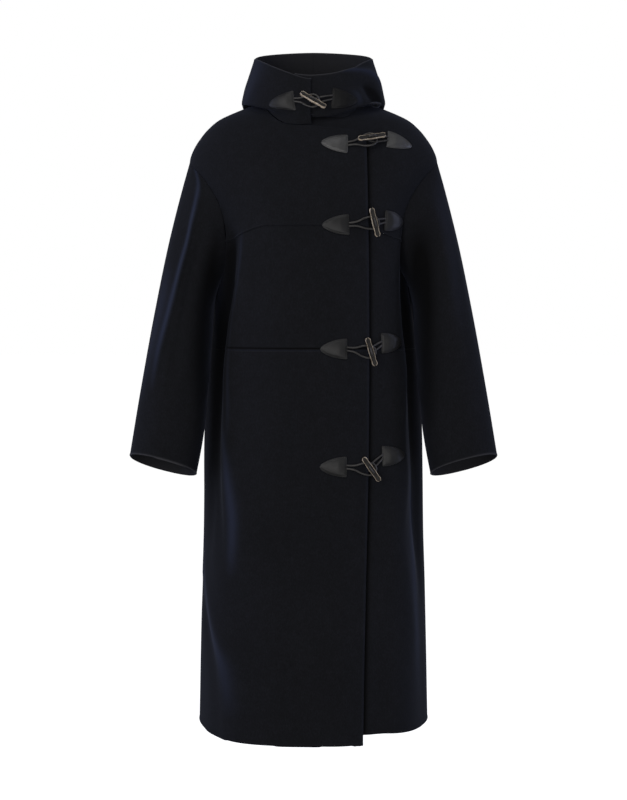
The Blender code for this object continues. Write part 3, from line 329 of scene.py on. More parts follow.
def smooth(table, at):
    """Every column after the first as a smooth curve of the first column, through each row of the table."""
    rows = np.asarray(table, float)
    station, value = rows[:, 0], rows[:, 1:]
    step = np.diff(station)[:, None]
    grade = np.diff(value, axis=0) / step
    slope = np.empty_like(value)
    slope[1:-1] = (grade[:-1] * step[1:] + grade[1:] * step[:-1]) / (step[:-1] + step[1:])
    slope[0] = 1.5 * grade[0] - 0.5 * slope[1]
    slope[-1] = 1.5 * grade[-1] - 0.5 * slope[-2]
    at = np.clip(np.asarray(at, float), station[0], station[-1])
    row = np.clip(np.searchsorted(station, at, side="right") - 1, 0, len(station) - 2)
    width = step[row]
    t = (at - station[row])[..., None] / width
    begin, end = value[row], value[row + 1]
    bend = slope[row] * (t - 2 * t**2 + t**3) + slope[row + 1] * (t**3 - t**2)
    return begin + (end - begin) * (3 * t**2 - 2 * t**3) + bend * width


def ease(t):
    """0 before 0, 1 after 1, and a smooth step between."""
    t = np.clip(t, 0.0, 1.0)
    return t * t * (3 - 2 * t)


def rise(value, span):
    """0 before the span, 1 after it."""
    return ease((value - span[0]) / (span[1] - span[0]))


def bell(off, spread):
    """1 at 0, falling off smoothly either side."""
    return np.exp(-((off / spread) ** 2))


def unit(vectors):
    return vectors / np.linalg.norm(vectors, axis=-1, keepdims=True)


def signed_degrees(turn):
    return np.degrees(np.arctan2(np.sin(turn), np.cos(turn)))


def distances(points):
    """How far along the line of points each point is."""
    return np.concatenate([[0], np.cumsum(np.linalg.norm(np.diff(points, axis=0), axis=1))])


def facing(surface, a, b):
    """The unit normal of surface(a, b): the direction of a crossed with the direction of b."""
    along_a = surface(a + TINY, b) - surface(a - TINY, b)
    along_b = surface(a, b + TINY) - surface(a, b - TINY)
    return unit(np.cross(along_a, along_b))


def squircle(turn, square):
    """Radius of the unit superellipse at an angle."""
    return (np.abs(np.sin(turn)) ** square + np.abs(np.cos(turn)) ** square) ** (-1 / square)


def creased(tables, run, across):
    """Height of creases, in metres. Each follows its own line of across over run, and falls off either side
    of it as a bell whose two halves have their own spreads. It fades out past the ends of its table."""
    total = np.zeros(np.broadcast(run, across).shape)
    for table in tables:
        rows = np.array(sorted(table), float)
        line, before, after, height = np.moveaxis(smooth(rows, run), -1, 0)
        off = (across - line + 180) % 360 - 180
        spread = np.where(off * np.sign(line + 1e-9) < 0, before, after)
        inside = (run >= rows[0, 0]) & (run <= rows[-1, 0])
        total = total + np.where(inside, height, 0) * 0.001 * bell(off, spread)
    return total


def body_painted_light(turn, z):
    """Painted light and shade over the body: 1 for a painted highlight, -1 for painted shade, with a painted
    highlight along the lap's edge, a painted shadow beside it, and a painted shadow and highlight at the
    waist seam.
    """
    nap_and_painted_light = creased(BODY_PAINTED_LIGHT, z, signed_degrees(turn)) * 1000
    # A painted highlight on the lap's edge and a painted shadow on the left front beside it.
    past = body_point(turn, z)[..., 0] - smooth(FRONT_EDGE, np.clip(z, HEM, TOP))[..., 0]
    lit = EDGE_PAINTED_HIGHLIGHT * bell(past + EDGE_HIGHLIGHT_AT, EDGE_HIGHLIGHT_HALF) * (past < 0)
    shaded = EDGE_PAINTED_SHADOW * bell(past, EDGE_SHADOW_HALF) * (past >= 0)
    # A painted shadow just over the waist seam and a painted highlight just under it.
    over = z - WAIST_SEAM_Z
    seam = SEAM_PAINTED_HIGHLIGHT * bell(over + SEAM_HIGHLIGHT_AT, SEAM_LINE_HALF) * (over < 0)
    seam = seam - SEAM_PAINTED_SHADOW * bell(over - SEAM_SHADOW_AT, SEAM_LINE_HALF)
    return nap_and_painted_light + (np.cos(turn) > 0) * ((z < LAP_GROOVE_END[1]) * (lit - shaded) + seam)


def body_ring(z):
    return np.moveaxis(smooth(BODY_RINGS, z), -1, 0)


def body_point(turn, z):
    """A point of the body: on the ring at z, a superellipse, moved out by the folds and creases there. Turn
    goes from 0 at the centre front to 90 degrees at the wearer's left side."""
    turn, z = np.broadcast_arrays(np.asarray(turn, float), np.asarray(z, float))
    half_width, front, back, widest, square_front, square_back = body_ring(z)
    ahead = np.cos(turn) > 0
    radius = squircle(turn, np.where(ahead, square_front, square_back))
    reach = np.where(ahead, widest - front, back - widest)
    signed = signed_degrees(turn)
    fold = creased(BODY_CREASES, z, signed)
    for at, spread, z_top, z_bottom, height in BODY_FOLDS:
        shape = bell(np.abs(signed) - at, spread)
        fold = fold + height * shape * ease((z_top - z) / FOLD_FADE) * ease((z - z_bottom) / FOLD_FADE)
    x = (half_width * radius + fold) * np.sin(turn)
    y = widest - (reach * radius + fold) * np.cos(turn)
    return np.stack([x, y, z], -1)


def turn_at_x(x, z):
    """The turn at which the front of the ring at height z has this x."""
    half_width, square = body_ring(z)[0], body_ring(z)[4]
    share = np.abs(x) / half_width
    return np.sign(x) * np.arctan2(share, (1 - share**square) ** (1 / square))


def seat_turn(depth, z, ahead):
    """The turn, 0 to 180 degrees, at which the ring at height z is this deep before or behind its widest."""
    _, front, back, widest, square_front, square_back = body_ring(z)
    square = np.where(ahead, square_front, square_back)
    share = depth / np.where(ahead, widest - front, back - widest)
    turn = np.arctan2((1 - share**square) ** (1 / square), share)
    return np.where(ahead, turn, math.pi - turn)


def armhole(angle, grow=0.0):
    """The armhole as (turn, z) on the left side: angle 0 is its top, 90 degrees its front edge."""
    z = ARMHOLE_MID_Z + (ARMHOLE_HALF_Z + grow) * np.cos(angle)
    ahead = np.sin(angle) > 0
    depth = (np.where(ahead, ARMHOLE_FRONT, ARMHOLE_BACK) + grow) * np.abs(np.sin(angle))
    return np.stack([seat_turn(depth, z, ahead), z], -1)


def neck_plan(angle, front):
    """The neck seam as (turn, z) on the body: a superellipse in plan, where it meets the body."""
    radius = squircle(angle, NECK_SQUARE)
    x = NECK_HALF_WIDTH * radius * np.sin(angle)
    reach = np.where(np.cos(angle) > 0, NECK_MID_Y - front, NECK_BACK - NECK_MID_Y)
    y = NECK_MID_Y - reach * radius * np.cos(angle)
    heights = np.linspace(NECK_LOWEST_Z, TOP, FINE)
    half_width, ring_front, ring_back, widest, square_front, square_back = body_ring(heights)
    before = y[..., None] < widest
    square = np.where(before, square_front, square_back)
    ring_reach = np.where(before, widest - ring_front, ring_back - widest)
    away = np.abs(y[..., None] - widest) / ring_reach
    outside = (np.abs(x)[..., None] / half_width) ** square + away**square - 1
    first = np.argmax(outside > 0, axis=-1)
    low = np.take_along_axis(outside, first[..., None] - 1, -1)[..., 0]
    high = np.take_along_axis(outside, first[..., None], -1)[..., 0]
    z = heights[first - 1] + (heights[first] - heights[first - 1]) * low / (low - high)
    half_width, ring_front, ring_back, widest, _, _ = body_ring(z)
    ring_reach = np.where(y < widest, widest - ring_front, ring_back - widest)
    return np.stack([np.arctan2(x / half_width, (widest - y) / ring_reach), z], -1)


def front_sunk(turn, z):
    """How deep the left front lies under the surface that the right front laps on. It falls away a little
    more close to the lapping edge."""
    x = body_point(turn, z)[..., 0]
    past = np.clip(x - smooth(FRONT_EDGE, z)[..., 0], 0, None)
    groove = LAP_GROOVE * bell(past, LAP_GROOVE_HALF) * (1 - rise(z, LAP_GROOVE_END))
    return groove + UNDER * (1 - rise(x, FRONT_RISE_X)) * (1 - rise(np.degrees(turn), FRONT_RISE_TURN))


def none_sunk(turn, _along):
    return np.zeros_like(turn)


def read(edge, shares, surface=body_point):
    """An edge given as dense (a, b) points, read again at shares of its length on the surface."""
    run = distances(surface(edge[:, 0], edge[:, 1]))
    return np.stack([np.interp(shares * run[-1], run, column) for column in edge.T], -1)


def length_of(edge, surface=body_point):
    return float(np.linalg.norm(np.diff(surface(edge[:, 0], edge[:, 1]), axis=0), axis=1).sum())


def count_for(length):
    """An odd number of points, a mesh step apart."""
    return 2 * max(2, round((length - 2 * RIM_STEPS[-1]) / MESH_STEP / 2)) + 1


def spaced(length, count, near_start=True, near_end=True):
    """Shares along an edge: close together near its ends, as the rim steps say, and even between."""
    near = np.array(RIM_STEPS) / length
    first = near if near_start else near[:1]
    last = 1 - (near[::-1] if near_end else near[:1])
    return np.concatenate([first, np.linspace(first[-1], last[0], count)[1:-1], last])


def fill(bottom, top, left, right, u, v):
    """A grid between four edges: the sum of the two ruled grids less the one ruled from the corners."""
    u, v = u[None, :, None], v[:, None, None]
    ruled = (1 - v) * bottom[None] + v * top[None] + (1 - u) * left[:, None] + u * right[:, None]
    low = (1 - u) * bottom[0] + u * bottom[-1]
    high = (1 - u) * top[0] + u * top[-1]
    return ruled - (1 - v) * low - v * high


def patch_of_cloth(bottom, top, left, right_runs, surface=body_point):
    """The grid of one panel from its four dense edges; the right one may be in two runs with a corner, and
    then each inner point is moved to the middle of its four neighbours, EVENING times."""
    across = count_for(max(length_of(bottom, surface), length_of(top, surface)))
    u_low = spaced(length_of(bottom, surface), across)
    u_high = spaced(length_of(top, surface), across)
    lengths = [length_of(run, surface) for run in right_runs]
    total = count_for(max(sum(lengths), length_of(left, surface)))
    v = spaced(length_of(left, surface), total)
    if len(right_runs) == 1:
        right = read(right_runs[0], spaced(lengths[0], total), surface)
    else:
        rim = len(RIM_STEPS)
        first = max(3, round((total - 2) * lengths[0] / sum(lengths)))
        low = read(right_runs[0], spaced(lengths[0], first, True, False), surface)
        left_over = len(v) - len(low) - rim + 2
        high = read(right_runs[1], spaced(lengths[1], left_over, False, True), surface)
        right = np.concatenate([low[:-1], high])
    grid = fill(read(bottom, u_low, surface), read(top, u_high, surface), read(left, v, surface), right,
                (u_low + u_high) / 2, v)
    if len(right_runs) > 1:
        inside = slice(rim, -rim)
        for _ in range(EVENING):
            beside = grid[:-2, 1:-1] + grid[2:, 1:-1] + grid[1:-1, :-2] + grid[1:-1, 2:]
            grid[inside, inside] = beside[rim - 1:1 - rim, rim - 1:1 - rim] / 4
    return grid


def rim_profile(count, kinds):
    """For each row of a grid, how far its two edges are rounded off, and how deep their channels are. An
    edge is free ("f"), sewn ("s") or sewn with a row of stitches beside it ("t")."""
    near = np.array(RIM_STEPS)
    groove = CHANNEL_DEPTH * bell(near - RIM_STEPS[STITCH_ROW], CHANNEL_HALF)
    drop, channel = np.zeros(count), np.zeros(count)
    for end, kind in enumerate(kinds):
        rows = slice(0, len(near)) if end == 0 else slice(count - 1, count - 1 - len(near), -1)
        radius = RIM_ROUND if kind == "f" else SEAM_ROUND
        inset = np.clip(radius - near, 0, None)
        drop[rows] = np.maximum(drop[rows], radius - np.sqrt(radius**2 - inset**2))
        if kind == "t":
            channel[rows] = np.maximum(channel[rows], groove)
        if kind == "f":
            channel[rows] -= BEAD_HEIGHT * bell(near - BEAD_AT, BEAD_HALF)
    return drop, channel


def mesh_object(name, points, faces, material):
    """An object at the origin from whole arrays of points and faces, shaded smooth."""
    mesh = bpy.data.meshes.new(name)
    mesh.from_pydata(points.reshape(-1, 3), [], faces)
    mesh.validate()
    mesh.shade_smooth()
    mesh.materials.append(material)
    item = bpy.data.objects.new(name, mesh)
    bpy.context.collection.objects.link(item)
    return item


def outward(item):
    """Turns the whole closed mesh right side out where its signed volume is negative."""
    mesh = item.data
    mesh.calc_loop_triangles()
    corner = np.empty(len(mesh.loop_triangles) * 3, np.int32)
    mesh.loop_triangles.foreach_get("vertices", corner)
    place = np.empty(len(mesh.vertices) * 3)
    mesh.vertices.foreach_get("co", place)
    a, b, c = np.moveaxis(place.reshape(-1, 3)[corner.reshape(-1, 3)], 1, 0)
    if np.einsum("ij,ij->", a, np.cross(b, c)) < 0:
        mesh.flip_normals()
    return item


def shell(name, outer, inner, material, nap_and_painted_light=None, tube=False, pale=(0.0, 0.0)):
    """A closed wall: a fine outer grid, an inner grid with every second row and column, and a rim of
    five-sided faces that joins two outer cells to each inner one. A tube's last column meets its first.
    Cloth has attributes for its painted highlights and shade and for its painted paleness, outside and
    inside."""
    rows, columns = outer.shape[:2]
    inner = inner[::2, ::2]
    index = np.arange(rows * columns).reshape(rows, columns)
    under = rows * columns + np.arange(inner.shape[0] * inner.shape[1]).reshape(inner.shape[:2])
    if tube:
        index = np.concatenate([index, index[:, :1]], axis=1)
        under = np.concatenate([under, under[:, :1]], axis=1)
    quad = lambda i: np.stack([i[:-1, :-1], i[:-1, 1:], i[1:, 1:], i[1:, :-1]], -1).reshape(-1, 4)
    faces = quad(index).tolist() + quad(under)[:, ::-1].tolist()
    rims = [(index[0][::-1], under[0][::-1]), (index[-1], under[-1])]
    if not tube:
        rims += [(index[:, 0], under[:, 0]), (index[:, -1][::-1], under[:, -1][::-1])]
    for fine, coarse in rims:
        rim = np.stack([fine[2::2], fine[1:-1:2], fine[:-2:2], coarse[:-1], coarse[1:]], -1)
        faces += rim[:, ::-1].tolist()
    item = mesh_object(name, np.concatenate([outer.reshape(-1, 3), inner.reshape(-1, 3)]), faces, material)
    # The cloth's attributes are painted light: painted highlights and shade, and painted paleness on rims and
    # insides.
    if nap_and_painted_light is not None:
        for title, over, beneath in (("nap_and_painted_light", nap_and_painted_light, 0.0), ("pale", *pale)):
            over = np.broadcast_to(over, outer.shape[:2]).ravel()
            values = np.concatenate([over, np.full(inner.size // 3, beneath)]).astype(np.float32)
            item.data.attributes.new(title, "FLOAT", "POINT").data.foreach_set("value", values)
    return outward(item)


seam_lines = []  # (points, normals) of each row of topstitching


def cloth_panel(name, surface, sunk, grid, kinds, nap_and_painted_light, lip=0.0, pale=(0.0, 0.0)):
    """A wool panel. kinds gives the kind of its bottom, top, left and right edges."""
    a, b = grid[..., 0], grid[..., 1]
    rows, columns = a.shape
    drop_v, groove_v = rim_profile(rows, kinds[:2])
    drop_u, groove_u = rim_profile(columns, kinds[2:])
    drop = np.maximum(drop_v[:, None], drop_u[None])
    groove = groove_v[:, None] + groove_u[None]
    points, normal = surface(a, b), facing(surface, a, b)
    run = np.linalg.norm(np.diff(points, axis=0), axis=-1)
    from_edge = np.concatenate([np.zeros((1, columns)), np.cumsum(run, axis=0)])
    raised = lip * (1 - ease(from_edge / LIP_FADE)) - sunk(a, b)
    outer = points + normal * (raised - drop - groove)[..., None]
    inner = points + normal * (raised - CLOTH + drop)[..., None]
    item = shell(name, outer, inner, WOOL, nap_and_painted_light(a, b), pale=pale)
    for edge, kind in enumerate(kinds):
        if kind == "t":
            row = (STITCH_ROW, rows - 1 - STITCH_ROW, STITCH_ROW, columns - 1 - STITCH_ROW)[edge]
            cut = slice(STITCH_ROW, -STITCH_ROW)
            pick = (slice(None), row) if edge > 1 else (row, slice(None))
            seam_lines.append((outer[pick][cut], normal[pick][cut]))
    return item


def line(*corners):
    """Dense points along straight runs between corners."""
    runs = [np.linspace(a, b, DENSE, endpoint=False) for a, b in zip(corners[:-1], corners[1:])]
    return np.concatenate([*runs, [corners[-1]]])


def side_line(z_low, z_high, side, ahead=True):
    """Half a seam's gap before (or behind) the side seam or shoulder seam, between two heights."""
    z = np.linspace(z_low, z_high, DENSE)
    _, front, back, widest, _, _ = body_ring(z)
    step = -SEAM_OVERLAP / 2 / (widest - front if ahead else back - widest)
    turn = QUARTER - step if ahead else QUARTER + step
    return np.stack([side * turn, z], -1)


def armhole_line(from_angle, to_angle, side):
    return armhole(np.radians(np.linspace(from_angle, to_angle, DENSE)), ARMHOLE_EASE) * (side, 1)


def yoke_z(x):
    """Height of the yoke seam: level across the chest, and dropping towards the armhole."""
    return YOKE_SEAM_Z - YOKE_DROP * ease((np.abs(x) - YOKE_DROP_FROM_X) / YOKE_DROP_OVER_X)


def front_edge(side, z):
    """(turn, z) of a front's free edge. The right front's is side -1 and laps past the centre."""
    x = smooth(FRONT_EDGE, z)[..., 0] if side < 0 else np.full_like(z, HIDDEN_EDGE_X)
    return np.stack([turn_at_x(x, z), z], -1)


def level_line(side, z_of_x, shift, end):
    """A seam across a front from its free edge to its outer end, moved up or down by a shift."""
    x = np.linspace(-side, side, FINE) * BODY_RINGS[0][1]
    z = z_of_x(x) + shift
    edge_x = smooth(FRONT_EDGE, z)[..., 0] if side < 0 else HIDDEN_EDGE_X
    kept = (np.abs(x) < body_ring(z)[0] - TINY) & (x * side >= edge_x * side)
    first = front_edge(side, z[kept][:1])
    edge = np.concatenate([first, np.stack([turn_at_x(x[kept], z[kept]), z[kept]], -1)])
    return np.concatenate([edge[edge[:, 0] * side < end[0] * side], [end]])


def yoke_corner_angle():
    """The angle about the armhole, in degrees, at which the yoke seam runs into it."""
    angle = np.linspace(0, math.pi, 4 * FINE)
    edge = armhole(angle, ARMHOLE_EASE)
    x = body_point(edge[:, 0], edge[:, 1])[:, 0]
    return np.degrees(angle[np.argmin(np.abs(edge[:, 1] - yoke_z(x)))])


def front_panels(side, word):
    """The skirt, middle and yoke of one front, as (name, grid, stitched edges, lip)."""
    half = -SEAM_OVERLAP / 2
    corner = yoke_corner_angle()
    drop = np.array([0, half])
    side_low = side_line(HEM, WAIST_SEAM_Z - half, side)
    side_mid = side_line(WAIST_SEAM_Z + half, UNDERARM, side)
    armhole_low = armhole_line(180, corner, side)
    armhole_high = armhole_line(corner, 0, side)
    armhole_low[-1] -= drop
    armhole_high[0] += drop
    side_mid[-1] = armhole_low[0]
    foot = HEM if side < 0 else HEM + LEFT_HEM_RISE
    falls = [(side * math.radians(at), HEM + (foot - HEM) * share) for at, share in LEFT_HEM_RUN]
    hem = line(front_edge(side, np.array([foot]))[0], *falls, side_low[0])
    waist = lambda x: np.full_like(x, WAIST_SEAM_Z)
    skirt = patch_of_cloth(
        hem,
        level_line(side, waist, -half, side_low[-1]),
        front_edge(side, np.linspace(foot, WAIST_SEAM_Z - half, DENSE)),
        [side_low],
    )
    yoke_under = level_line(side, yoke_z, -half, armhole_low[-1])
    yoke_over = level_line(side, yoke_z, half, armhole_high[0])
    middle = patch_of_cloth(
        level_line(side, waist, half, side_mid[0]),
        yoke_under,
        front_edge(side, np.linspace(WAIST_SEAM_Z + half, yoke_under[0, 1], DENSE)),
        [side_mid, armhole_low],
    )
    if side < 0:
        neck = neck_plan(-np.radians(np.linspace(NECK_START_RIGHT, 90, DENSE)), NECK_FRONT_RIGHT)
        x, z = np.linspace(LAP_CORNER, LAP_START, DENSE).T
    else:
        neck = neck_plan(np.radians(np.linspace(NECK_START_LEFT, 90, DENSE)), NECK_FRONT_LEFT)
        neck[:, 1] += NECK_ALLOWANCE * np.cos(np.linspace(0, QUARTER, DENSE))
        x, z = np.linspace((HIDDEN_EDGE_X, UNDER_LAP_TOP_Z), (0.0, neck[0, 1]), DENSE).T
    free_top = np.stack([turn_at_x(x, z), z], -1)[:-1]
    neck[:, 1] -= SEAM
    top = np.concatenate([free_top, neck])
    shoulder = side_line(SHOULDER + ARMHOLE_EASE, neck[-1, 1], side)
    top[-1] = shoulder[-1]
    shoulder[0] = armhole_high[-1]
    yoke = patch_of_cloth(
        yoke_over, top, front_edge(side, np.linspace(yoke_over[0, 1], free_top[0, 1], DENSE)),
        [armhole_high, shoulder],
    )
    return (
        (f"{word}_skirt_cloth", f"front_{word}_skirt", skirt, "ftfs", 0.0),
        (f"{word}_middle_cloth", f"front_{word}_middle", middle, "ssfs", 0.0),
        (f"{word}_yoke_cloth", f"front_{word}_yoke", yoke, "ffss", YOKE_LIP),
    )


for front_side, front_word, front_depth in ((-1, "right", none_sunk), (1, "left", front_sunk)):
    for title, node, grid, kinds, lip in front_panels(front_side, front_word):
        piece = cloth_panel(title, body_point, front_depth, grid, kinds, body_painted_light, lip)
        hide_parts(node)
        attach(piece, "root")

# ---------------------------------------------------------------------------------------------------------
# The back: one plain panel of the same wool from side seam to side seam, closed at the shoulders. It falls
# from the shoulder blades in two long folds that open towards the hem.

SPARE_ROW = 16


def back_grid():
    """The back's grid. Its side edge runs up the side seam, round the armhole and along the shoulder."""
    neck = neck_plan(np.radians(np.linspace(90, 270, 2 * DENSE)), NECK_FRONT_RIGHT)
    neck[:, 0] = np.where(neck[:, 0] < 0, neck[:, 0] + 2 * math.pi, neck[:, 0])
    neck[:, 1] -= SEAM
    arm = armhole_line(180, 360, 1)
    shoulder = side_line(SHOULDER + ARMHOLE_EASE, neck[0, 1], 1, False)
    runs = [np.concatenate([side_line(HEM, UNDERARM, 1, False)[:-1], arm[:1]]), arm[:-1], shoulder]
    lengths = [length_of(run) for run in runs]
    total = count_for(sum(lengths))
    counts = [round(total * length / sum(lengths)) for length in lengths]
    parts = [read(run, spaced(length, count, at == 0, at == 2))
             for at, (run, length, count) in enumerate(zip(runs, lengths, counts))]
    parts[1][-1] = parts[2][0]
    side = np.concatenate([parts[0][:-1], parts[1][:-1], parts[2]])
    if len(side) % 2 == 0:
        side = np.delete(side, SPARE_ROW, axis=0)
    other = side * (-1, 1) + (2 * math.pi, 0)
    neck[0], neck[-1] = side[-1], other[-1]
    hem = line(side[0], other[0])
    across = count_for(length_of(hem))
    u_low, u_high = spaced(length_of(hem), across), spaced(length_of(neck), across)
    run = distances(body_point(side[:, 0], side[:, 1]))
    return fill(read(hem, u_low), read(neck, u_high), side, other, (u_low + u_high) / 2, run / run[-1])


piece = cloth_panel("back_cloth", body_point, none_sunk, back_grid(), "fsss", body_painted_light)
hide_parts("back")
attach(piece, "root")

# ---------------------------------------------------------------------------------------------------------
# The sleeves: wide tubes of the same wool, set in below the shoulder point, a little bent at the elbow and
# left open and plain at the cuff. The right one carries one long pressed crease down its front.

# Rings: share of the sleeve, x and z of the outer and of the inner side, middle y, half the depth, how far
# the front rises over the back, squareness.
SLEEVE_RINGS = (
    (0, 0.2366, -0.108, 0.1815, -0.335, 0.008, 0.086, 0, 2),
    (0.1, 0.2515, -0.164, 0.19, -0.375, -0.005, 0.087, 0.002, 2.1),
    (0.25, 0.2712, -0.248, 0.1928, -0.428, -0.026, 0.0825, 0.004, 2.2),
    (0.5, 0.2985, -0.386, 0.1995, -0.517, -0.052, 0.073, 0.007, 2.2),
    (0.75, 0.324, -0.53, 0.206, -0.61, -0.07, 0.064, 0.011, 2.2),
    (1, 0.3458, -0.665, 0.221, -0.6965, -0.084, 0.058, 0.018, 2.2),
)
SLEEVE_BLEND = 0.30
SLEEVE_LIFT_TO = 0.12
ARMHOLE_OUT = (0.972, 0.0, -0.236)  # the way out of the armhole
SLEEVE_LENGTH = 0.55
SLEEVE_LEVEL = 0.3  # the ring whose points are even
# Rows down a crease: share of the sleeve, angle in degrees (0 outer side, 90 front, 180 inner side), spread
# before and after it, height in millimetres.
RIGHT_SLEEVE_CREASES = (
    ((0, 33, 16, 6, 0), (0.025, 45, 16, 5, 3.4), (0.07, 54, 16, 5, 4.6), (0.118, 61, 15, 5, 5),
     (0.173, 68, 14, 5, 5.2), (0.242, 71, 14, 5, 5.2), (0.367, 69, 14, 5, 5), (0.517, 63, 14, 6, 4.4),
     (0.593, 58, 14, 7, 3.6), (0.7, 56, 14, 9, 2), (0.84, 58, 16, 12, 0)),
    ((0.06, 78, 8, 14, 0), (0.16, 88, 8, 14, -3), (0.34, 92, 8, 14, -3.6), (0.56, 86, 8, 16, -2.6),
     (0.76, 84, 8, 16, 0)),
    ((0.33, 205, 14, 12, 0), (0.44, 190, 14, 12, 3), (0.54, 172, 14, 12, 2.6), (0.64, 160, 14, 12, 0)),
    ((0.42, 228, 12, 12, 0), (0.52, 208, 12, 12, -3), (0.62, 190, 12, 12, 0)),
    ((0.12, 262, 18, 14, 0), (0.32, 270, 18, 14, 3.4), (0.62, 282, 18, 16, 2.6), (0.9, 290, 18, 16, 0)),
    ((0.55, 120, 12, 12, 0), (0.68, 116, 12, 12, -1.8), (0.88, 110, 14, 14, -1.6), (1, 108, 14, 14, -1)),
)
CUFF_PAINTED_HIGHLIGHT, CUFF_HIGHLIGHT_SHARE, CUFF_INNER_PAINTED_LIGHT = 1.0, 0.005, 0.35  # painted highlight along the cuff's rim, and painted light inside the sleeve
# Painted light on the sleeves: painted highlights along the crease and the outer side (above 0) and painted
# shade on the side towards the body (below 0): share of the sleeve, angle in degrees, spread before and
# after, strength.
RIGHT_SLEEVE_PAINTED_LIGHT = (
    ((0, 31, 4, 4, 0.8), (0.025, 44, 4, 3.6, 1.2), (0.068, 53, 3.4, 3, 1.5), (0.118, 60, 3.2, 2.8, 1.8),
     (0.173, 67, 3.2, 2.6, 1.8), (0.242, 69.5, 3.4, 2.8, 1.7), (0.367, 67.5, 4.5, 3, 1.5),
     (0.517, 61.5, 5.5, 3.2, 1.3), (0.6, 57, 6, 3.5, 1), (0.685, 55, 6, 4, 0.5), (0.76, 55, 6, 4, 0)),
    ((0.3, 44, 12, 12, 0), (0.4, 42, 14, 14, 0.5), (0.56, 36, 14, 14, 0.6), (0.7, 30, 14, 14, 0.3),
     (0.82, 26, 14, 14, 0)),
    ((0.02, 96, 10, 30, 0), (0.07, 112, 16, 40, -0.8), (0.2, 136, 24, 50, -1.1),
     (0.42, 146, 28, 50, -1.1), (0.64, 154, 24, 50, -0.7), (0.86, 158, 22, 50, 0)),
)
# The same painted light and shade on the left sleeve.
LEFT_SLEEVE_PAINTED_LIGHT = (
    ((0.02, 26, 12, 14, 0), (0.098, 38, 14, 16, 0.3), (0.223, 47, 14, 18, 0.3), (0.403, 60, 14, 16, 0.2),
     (0.56, 64, 14, 16, 0)),
    ((0.02, 92, 14, 30, 0), (0.09, 106, 30, 40, -1.1), (0.24, 128, 32, 50, -1.2),
     (0.42, 142, 30, 50, -1.1), (0.64, 150, 28, 50, -0.8), (0.84, 156, 22, 50, 0)),
    ((0.08, 4, 10, 12, 0), (0.2, 6, 10, 12, 0.5), (0.5, 6, 10, 12, 0.4), (0.76, 6, 10, 12, 0)),
)
LEFT_SLEEVE_CREASES = (
    ((0.02, 22, 14, 12, 0), (0.1, 32, 14, 12, 2.2), (0.24, 40, 14, 13, 2.8), (0.42, 44, 14, 14, 1.8),
     (0.6, 46, 14, 14, 0)),
    ((0.08, 66, 12, 16, 0), (0.22, 78, 12, 16, -2.4), (0.42, 80, 12, 16, -2.6), (0.64, 74, 12, 18, 0)),
    ((0.3, 112, 12, 12, 0), (0.43, 118, 12, 12, 2.4), (0.58, 128, 12, 12, 2.2), (0.72, 136, 12, 12, 0)),
    ((0.36, 210, 14, 12, 0), (0.47, 194, 14, 12, 3), (0.56, 176, 14, 12, 2.8), (0.68, 160, 14, 12, 0)),
    ((0.44, 236, 12, 12, 0), (0.54, 214, 12, 12, -3), (0.64, 196, 12, 12, 0)),
    ((0.1, 272, 18, 14, 0), (0.3, 278, 18, 14, 3.2), (0.64, 288, 18, 16, 2.8), (0.92, 296, 18, 16, 0)),
)


def sleeve_point(along, angle, creases=()):
    """A point of the left sleeve: an ellipse-like ring across it, moved out by its creases, which dies into
    the armhole's own line at the top. Angle 0 is the outer side, 90 degrees the front, 180 the inner side."""
    along, angle = np.broadcast_arrays(np.asarray(along, float), np.asarray(angle, float))
    section = np.moveaxis(smooth(SLEEVE_RINGS, along), -1, 0)
    outer_x, outer_z, inner_x, inner_z, mid_y, half_depth, front_rise, square = section
    radius = squircle(angle, square)
    if creases:
        radius = radius + creased(creases, along, np.degrees(angle) % 360) / half_depth
    up, ahead = radius * np.cos(angle), radius * np.sin(angle)
    x = (outer_x + inner_x) / 2 + (outer_x - inner_x) / 2 * up
    y = mid_y - half_depth * ahead
    z = (outer_z + inner_z) / 2 + (outer_z - inner_z) / 2 * up + front_rise * ahead
    plain = np.stack([x, y, z], -1)
    first = SLEEVE_RINGS[0]
    seat = body_point(*np.moveaxis(armhole(angle), -1, 0))
    flat = [(first[1] + first[3]) / 2 + (first[1] - first[3]) / 2 * np.cos(angle),
            first[5] - first[6] * np.sin(angle),
            (first[2] + first[4]) / 2 + (first[2] - first[4]) / 2 * np.cos(angle)]
    fade = np.clip(1 - along / SLEEVE_BLEND, 0, 1) ** 2
    return plain + (seat - np.stack(flat, -1)) * fade[..., None]


